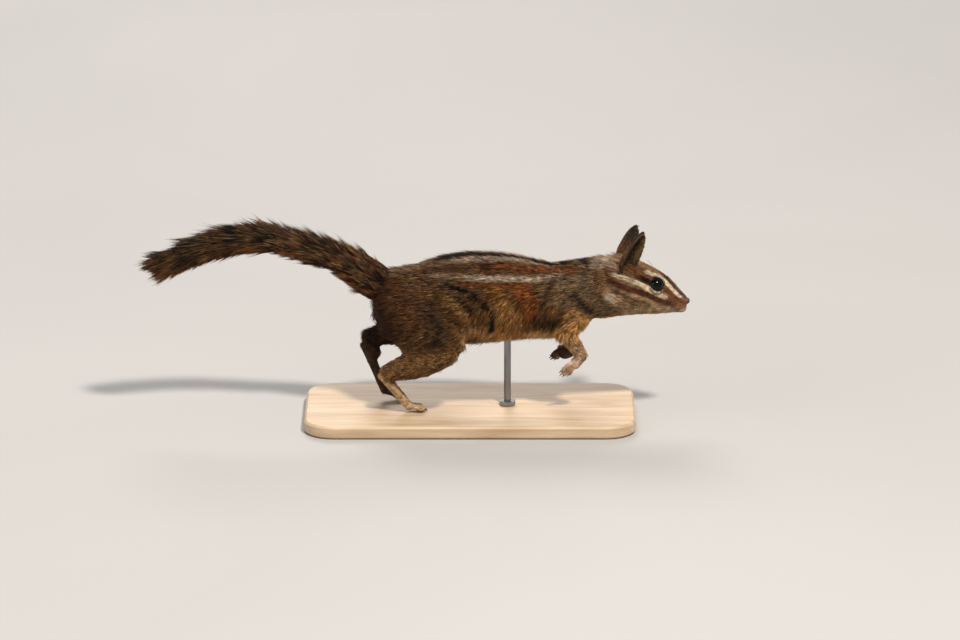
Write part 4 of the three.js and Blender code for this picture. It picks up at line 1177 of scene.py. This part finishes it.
# The coat of body, head and legs.
def unwrap(p, line):
    """Share along a line and turn round it: the coat's place on the skin unrolled."""
    share, _, foot, ahead = nearest_on(line, p)
    across = unit(np.cross(np.array([0.0, 0, 1.0]), ahead) + np.array([1e-6, 1e-6, 0]))
    up = np.cross(ahead, across)
    d = p - foot
    turn = np.arctan2((d * across).sum(1), (d * up).sum(1)) / (2 * math.pi) + 0.5
    return mix(0.02, 0.98, np.stack([share, turn], 1))


def hair_numbers(p, normals, w):
    """Number per square millimetre, length and width of the tufts at points of the skin."""
    h = to_head(p)
    z = p[:, 2] - BASE_TOP
    low = smooth(34, 26, z)
    trunk_long = mix(4.6, 4.0, smooth(-20, 20, p[:, 0]))
    head_long = mix(2.6, 1.25, smooth(2, 22, h[:, 0]))
    head_long = mix(head_long, 0.75, smooth(22, 31, h[:, 0]))
    kinds = {
        "torso": (8.2, trunk_long, 0.30),
        "neck": (8.6, 3.4, 0.28),
        "head": (mix(8.5, 13.5, smooth(2, 24, h[:, 0])), head_long, mix(0.28, 0.18, smooth(2, 26, h[:, 0]))),
        "foreleg": (8.5, mix(3.0, 1.6, low), mix(0.30, 0.24, low)),
        "hindleg": (8.2, mix(4.2, 2.2, low), mix(0.30, 0.25, low)),
        "forepaw": (8.0, 0.85, 0.2),
        "hindfoot": (7.5, 1.05, 0.22),
        "tail": (0.0, 6.0, 0.4),
    }
    density, length, width = (
        sum(part_weight(w, part) * numbers[k] for part, numbers in kinds.items()) for k in range(3)
    )
    density *= 1 - fade("no_hair", h[:, 0]) * w["head"]
    for places in EARS.values():
        near_ear = fade("ear_root", np.linalg.norm(h - np.array(places["root"]) - (0.8, 0, 0.6), axis=1))
        length = length * (1 + 1.3 * near_ear * (w["head"] > 0.3))
    for side in (-1, 1):
        d, e, outward = lid_place(h, side)
        density[(e < 1.16) & (np.linalg.norm(d, axis=1) < 5) & (outward > 0)] = 0
    u, v = side_view(p).T
    length *= 1 + 0.35 * fade("rump", np.hypot(u - 374, v - 298))
    length *= 1 + 0.3 * (w["foreleg_right"] * fade("arm", z))
    soles = (total(w, PAWS) > 0.4) & (normals[:, 2] < -0.35)
    toes = (part_weight(w, "hindfoot") > 0.5) & (z < 1.0)
    density[soles | toes] = 0
    return density, length, width


def coat_tints(root, normal, ahead, length, part, own, rng):
    """Colours of the tufts at root, middle and tip, with dark and pale tips strewn among them."""
    low, colour, high = (
        markings(root + ahead * (length * far)[:, None] + normal * (length * rise)[:, None], part)
        for far, rise in ((0.25, 0.16), (0.52, 0.22), (0.92, 0.26))
    )
    head = part["head"][:, None]
    clump_tone = rng.normal(1, 0.19, len(root))[own]
    tone = (rng.lognormal(0, 0.16, len(root)) * clump_tone)[:, None]
    tone = mix(tone, 1.0, 0.45 * head)
    kind = rng.random(len(root))[:, None]
    body = np.clip(1 - total(part, PAWS), 0, 1)[:, None]
    plain = 1 - 0.55 * head
    tip = np.where(kind < COAT["dark"] * body * plain, high * 0.30, high)
    pale_enough = smooth(0.015, 0.06, high @ GREY)[:, None]
    pale = mix(high, TINT["pale_tip"], 0.32 * pale_enough)
    tip = np.where(kind > 1 - COAT["pale"] * body * plain, pale, tip)
    dark_root = mix(low, TINT["dark_root"], 0.45 * body * (1 - 0.5 * head))
    gain = mix(HAIR_GAIN, HEAD_GAIN, head)
    return [t * gain for t in (dark_root * tone * 0.66, mix(colour, tip, 0.35) * tone, tip * tone * 1.1)]


def body_coat():
    rng = np.random.default_rng(SEEDS["coat"])
    density, long, wide = hair_numbers(skin_p, skin_n, weights)
    index, bary = scatter(skin_p, skin_f, density, rng)

    def at(values):
        if values.ndim == 1:
            return (values[index] * bary).sum(1)
        return np.einsum("ijk,ij->ik", values[index], bary)

    root, normal, ahead = at(skin_p), unit(at(skin_n)), at(flow)
    n = len(root)
    length = at(long) * rng.lognormal(-0.02, 0.17, n)
    width = at(wide) * rng.uniform(0.75, 1.3, n)
    part = {name: at(w) for name, w in weights.items()}
    ahead = strayed(ahead, normal, COAT["stray"], rng)
    ahead, own = clumped(root, normal, ahead, length, COAT["clump"], COAT["pull"], SEEDS["coat_clumps"])
    stand = mix(1.0, 0.75, np.clip(part["head"] + total(part, PAWS), 0, 1))
    own_lift = rng.normal(0, 4, n)[own]
    lifts = [
        np.radians(np.clip(rng.normal(lift, COAT["vary"], n) * stand + own_lift, least, most))
        for lift, least, most in COAT["lifts"]
    ]
    tint = coat_tints(root, normal, ahead, length, part, own, rng)
    hair = [root, normal, ahead, length, width, lifts, tint]
    trunk = curve(TRUNK_AXIS, 40)
    groups = [
        ("coat_head", part["head"], from_head([(-4, 0, 0), (33.5, 0, 0)])),
        ("coat_neck", part["neck"], trunk),
        ("coat_torso", part["torso"], trunk),
    ]
    for side in SIDE:
        for lines, _, leg, paw in LIMBS:
            line = limb_line(lines, side, 30 if lines is FORELEG else 40)
            groups.append((f"coat_{leg[:4]}_{side}", part[f"{leg}_{side}"] + part[f"{paw}_{side}"], line))
    owner = np.full(n, 2)
    for i in reversed(range(len(groups))):
        owner[groups[i][1] > 0.5] = i
    for i, (name, _, line) in enumerate(groups):
        k = np.flatnonzero(owner == i)
        uv = unwrap(root[k], line)
        order = np.argsort(uv[:, 0])
        tuft_meshes(name, chosen(hair, k[order]), uv[order], MATERIALS["coat"], COAT["sink"])


def tail_coat():
    """Long hair of the tail: bent strands in clumps, black and brown with frosted tips, rusty below."""
    rng = np.random.default_rng(SEEDS["tail"])
    number = TAIL_HAIR["number"]
    s = rng.uniform(0.02, 1.0, number) ** 0.96 * TAIL["length"]
    s[: number // 12] = TAIL["length"] * rng.uniform(0.975, 1.0, number // 12)
    turn = rng.uniform(0, 2 * math.pi, number)
    t = s / TAIL_LENGTH * (len(TAIL_CURVE) - 1)
    i = np.clip(t.astype(int), 0, len(TAIL_CURVE) - 2)
    f = (t - i)[:, None]
    tangent = unit(np.gradient(TAIL_CURVE, axis=0))
    axis = unit(mix(tangent[i], tangent[i + 1], f))
    across = np.tile([0.0, 1.0, 0.0], (number, 1))
    up = np.cross(axis, across)
    up = up * np.sign(up[:, 2:3])
    normal = np.sin(turn)[:, None] * across + np.cos(turn)[:, None] * up
    root = mix(TAIL_CURVE[i], TAIL_CURVE[i + 1], f) + normal * core_radius(s)[:, None]
    share = s / TAIL["length"]
    top = np.cos(turn)
    length = np.interp(share, TAIL_HAIR["length_at"], TAIL_HAIR["length"]) * rng.lognormal(0, 0.09, number)
    length *= mix(0.86, 1.08, (top + 1) / 2)
    ahead = strayed(axis, normal, TAIL_HAIR["stray"], rng)
    ahead, own = clumped(
        root, normal, ahead, length, TAIL_HAIR["clump"], TAIL_HAIR["pull"], SEEDS["tail_clumps"]
    )
    rise = np.interp(share, TAIL_HAIR["rise_at"], TAIL_HAIR["rise"])
    ragged = rng.normal(0, 5.0, number)[own]
    length *= rng.normal(1, 0.10, number)[own]
    lifts = [
        np.radians(np.clip(rise * flatter + ragged + rng.normal(0, 3, number), *TAIL_HAIR["lift_limits"]))
        for flatter in TAIL_HAIR["share"]
    ]
    rust, brown, black, frost = (TINT[name] for name in ("rust", "brown", "black", "frost"))
    under, bands = SEEDS["tail_colours"]
    low = smooth(0.15, 0.75, -top + 0.25 * ripple(root, 9.0, under))[:, None]
    base = mix(brown, rust, np.clip(low * 0.9 + 0.12, 0, 1))
    band = mix(black, brown, np.clip(0.35 + 0.4 * ripple(root, 6.0, bands)[:, None] + 0.5 * low, 0, 1))
    pale = (rng.random((number, 1)) < TAIL_HAIR["pale"]) * mix(0.85, 0.5, low)
    tone = (rng.lognormal(0, 0.15, number) * rng.normal(1, 0.30, number).clip(0.4, 1.8)[own])[:, None]
    tip = mix(mix(band, rust, low * 0.75), frost, pale * 0.9)
    tint = [x * HEAD_GAIN for x in (base * tone * 0.8, mix(base, band, 0.6) * tone, band * tone, tip * tone)]
    uv = mix(0.02, 0.98, np.stack([share, turn / (2 * math.pi)], 1))
    width = rng.uniform(0.26, 0.44, number)
    order = np.argsort(s)
    hair = chosen([root, normal, ahead, length, width, lifts, tint], order)
    tuft_meshes("coat_tail", hair, uv[order], MATERIALS["coat"], COAT["sink"])


body_coat()
tail_coat()


# Whiskers: long bent hairs from the pads beside the nose, and a few over the eye.
def whiskers():
    rng = np.random.default_rng(SEEDS["whiskers"])
    t = np.linspace(0, 1, 9)[:, None]
    brow_t = np.linspace(0, 1, 7)[:, None]
    size = mix(WHISKER["radius"], WHISKER["tip"], t[:, 0])
    brow_size = mix(WHISKER["brow_radius"], WHISKER["tip"], brow_t[:, 0])
    tubes = []
    for side in (-1, 1):
        for row in range(WHISKER["rows"]):
            for k in range(WHISKER["columns"]):
                start = np.array([30.0 - 1.25 * k - 0.3 * row, side * (3.1 + 0.32 * k), 1.4 - row + 0.12 * k])
                out = unit(np.array([0.30 - 0.16 * k, side * 1.0, 0.16 - 0.20 * row]))
                out = unit(out + rng.normal(0, 0.06, 3))
                long = (7.0 + 1.9 * k) * rng.uniform(0.85, 1.1)
                line = start - out * 0.9 + out * long * t + np.array([-0.95, 0, -0.22]) * long * 0.42 * t**2
                tubes.append(tube(from_head(line), size, size, WHISKER["sides"], (0, 0, 1), (0.6,)))
        for k in range(WHISKER["brows"]):
            start = np.array([16.8 + 0.8 * k, side * 5.6, 9.0 - 0.35 * k])
            out = unit(np.array([0.1 - 0.2 * k, side * 0.8, 0.75]))
            line = start + out * 4.5 * brow_t + np.array([-2.4, 0, -0.6]) * brow_t**2
            tubes.append(tube(from_head(line), brow_size, brow_size, WHISKER["sides"], (1, 0, 0), (0.6,)))
    o = mesh_object("whiskers", *joined(tubes), TINT["whisker"], material=MATERIALS["claw"])
    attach(o, BODY)


whiskers()


# The stand keeps its CAD solids, with better surfaces.
def dress(name, material):
    data = frame["nodes"][name].data
    data.materials.clear()
    data.materials.append(material)


dress("stand_base", MATERIALS["wood"])
dress("stand_rod", MATERIALS["steel"])


# Floor, lights and camera.
def aimed(name, data, place, target):
    o = bpy.data.objects.new(name, data)
    bpy.context.scene.collection.objects.link(o)
    o.location = place
    o.rotation_euler = (Vector(target) - o.location).to_track_quat("-Z", "Y").to_euler()
    return o


def floor():
    size = FLOOR["half"]
    square = ((-1, -1), (1, -1), (1, 1), (-1, 1))
    corners = np.array([(x * size, y * size, -FLOOR["drop"]) for x, y in square])
    o = mesh_object("floor", corners, np.array([[0, 1, 2, 3]]), material=MATERIALS["floor"])


def lights():
    for name, (place, size, energy, colour) in LIGHTS.items():
        data = bpy.data.lights.new(name, "AREA")
        data.shape = "DISK"
        data.size = size
        data.energy = energy
        data.color = colour
        aimed(name, data, place, LIT)


def world():
    w = bpy.data.worlds.new("studio")
    w.use_nodes = True
    w.node_tree.nodes["Background"].inputs["Color"].default_value = SKY["colour"]
    w.node_tree.nodes["Background"].inputs["Strength"].default_value = SKY["strength"]
    bpy.context.scene.world = w


def camera():
    data = bpy.data.cameras.new("camera")
    data.lens = CAMERA["lens"]
    data.sensor_width = CAMERA["sensor"]
    data.clip_start = CAMERA["near"]
    data.clip_end = CAMERA["far"]
    distance = CAMERA["width"] * CAMERA["lens"] / CAMERA["sensor"] * MM
    angle = math.radians(CAMERA["elevation"])
    target = Vector(CAMERA["target"]) * MM
    place = target + Vector((0, -math.cos(angle), math.sin(angle))) * distance
    bpy.context.scene.camera = aimed("camera", data, place, target)


floor()
lights()
world()
camera()
bpy.context.scene.view_settings.view_transform = "Standard"
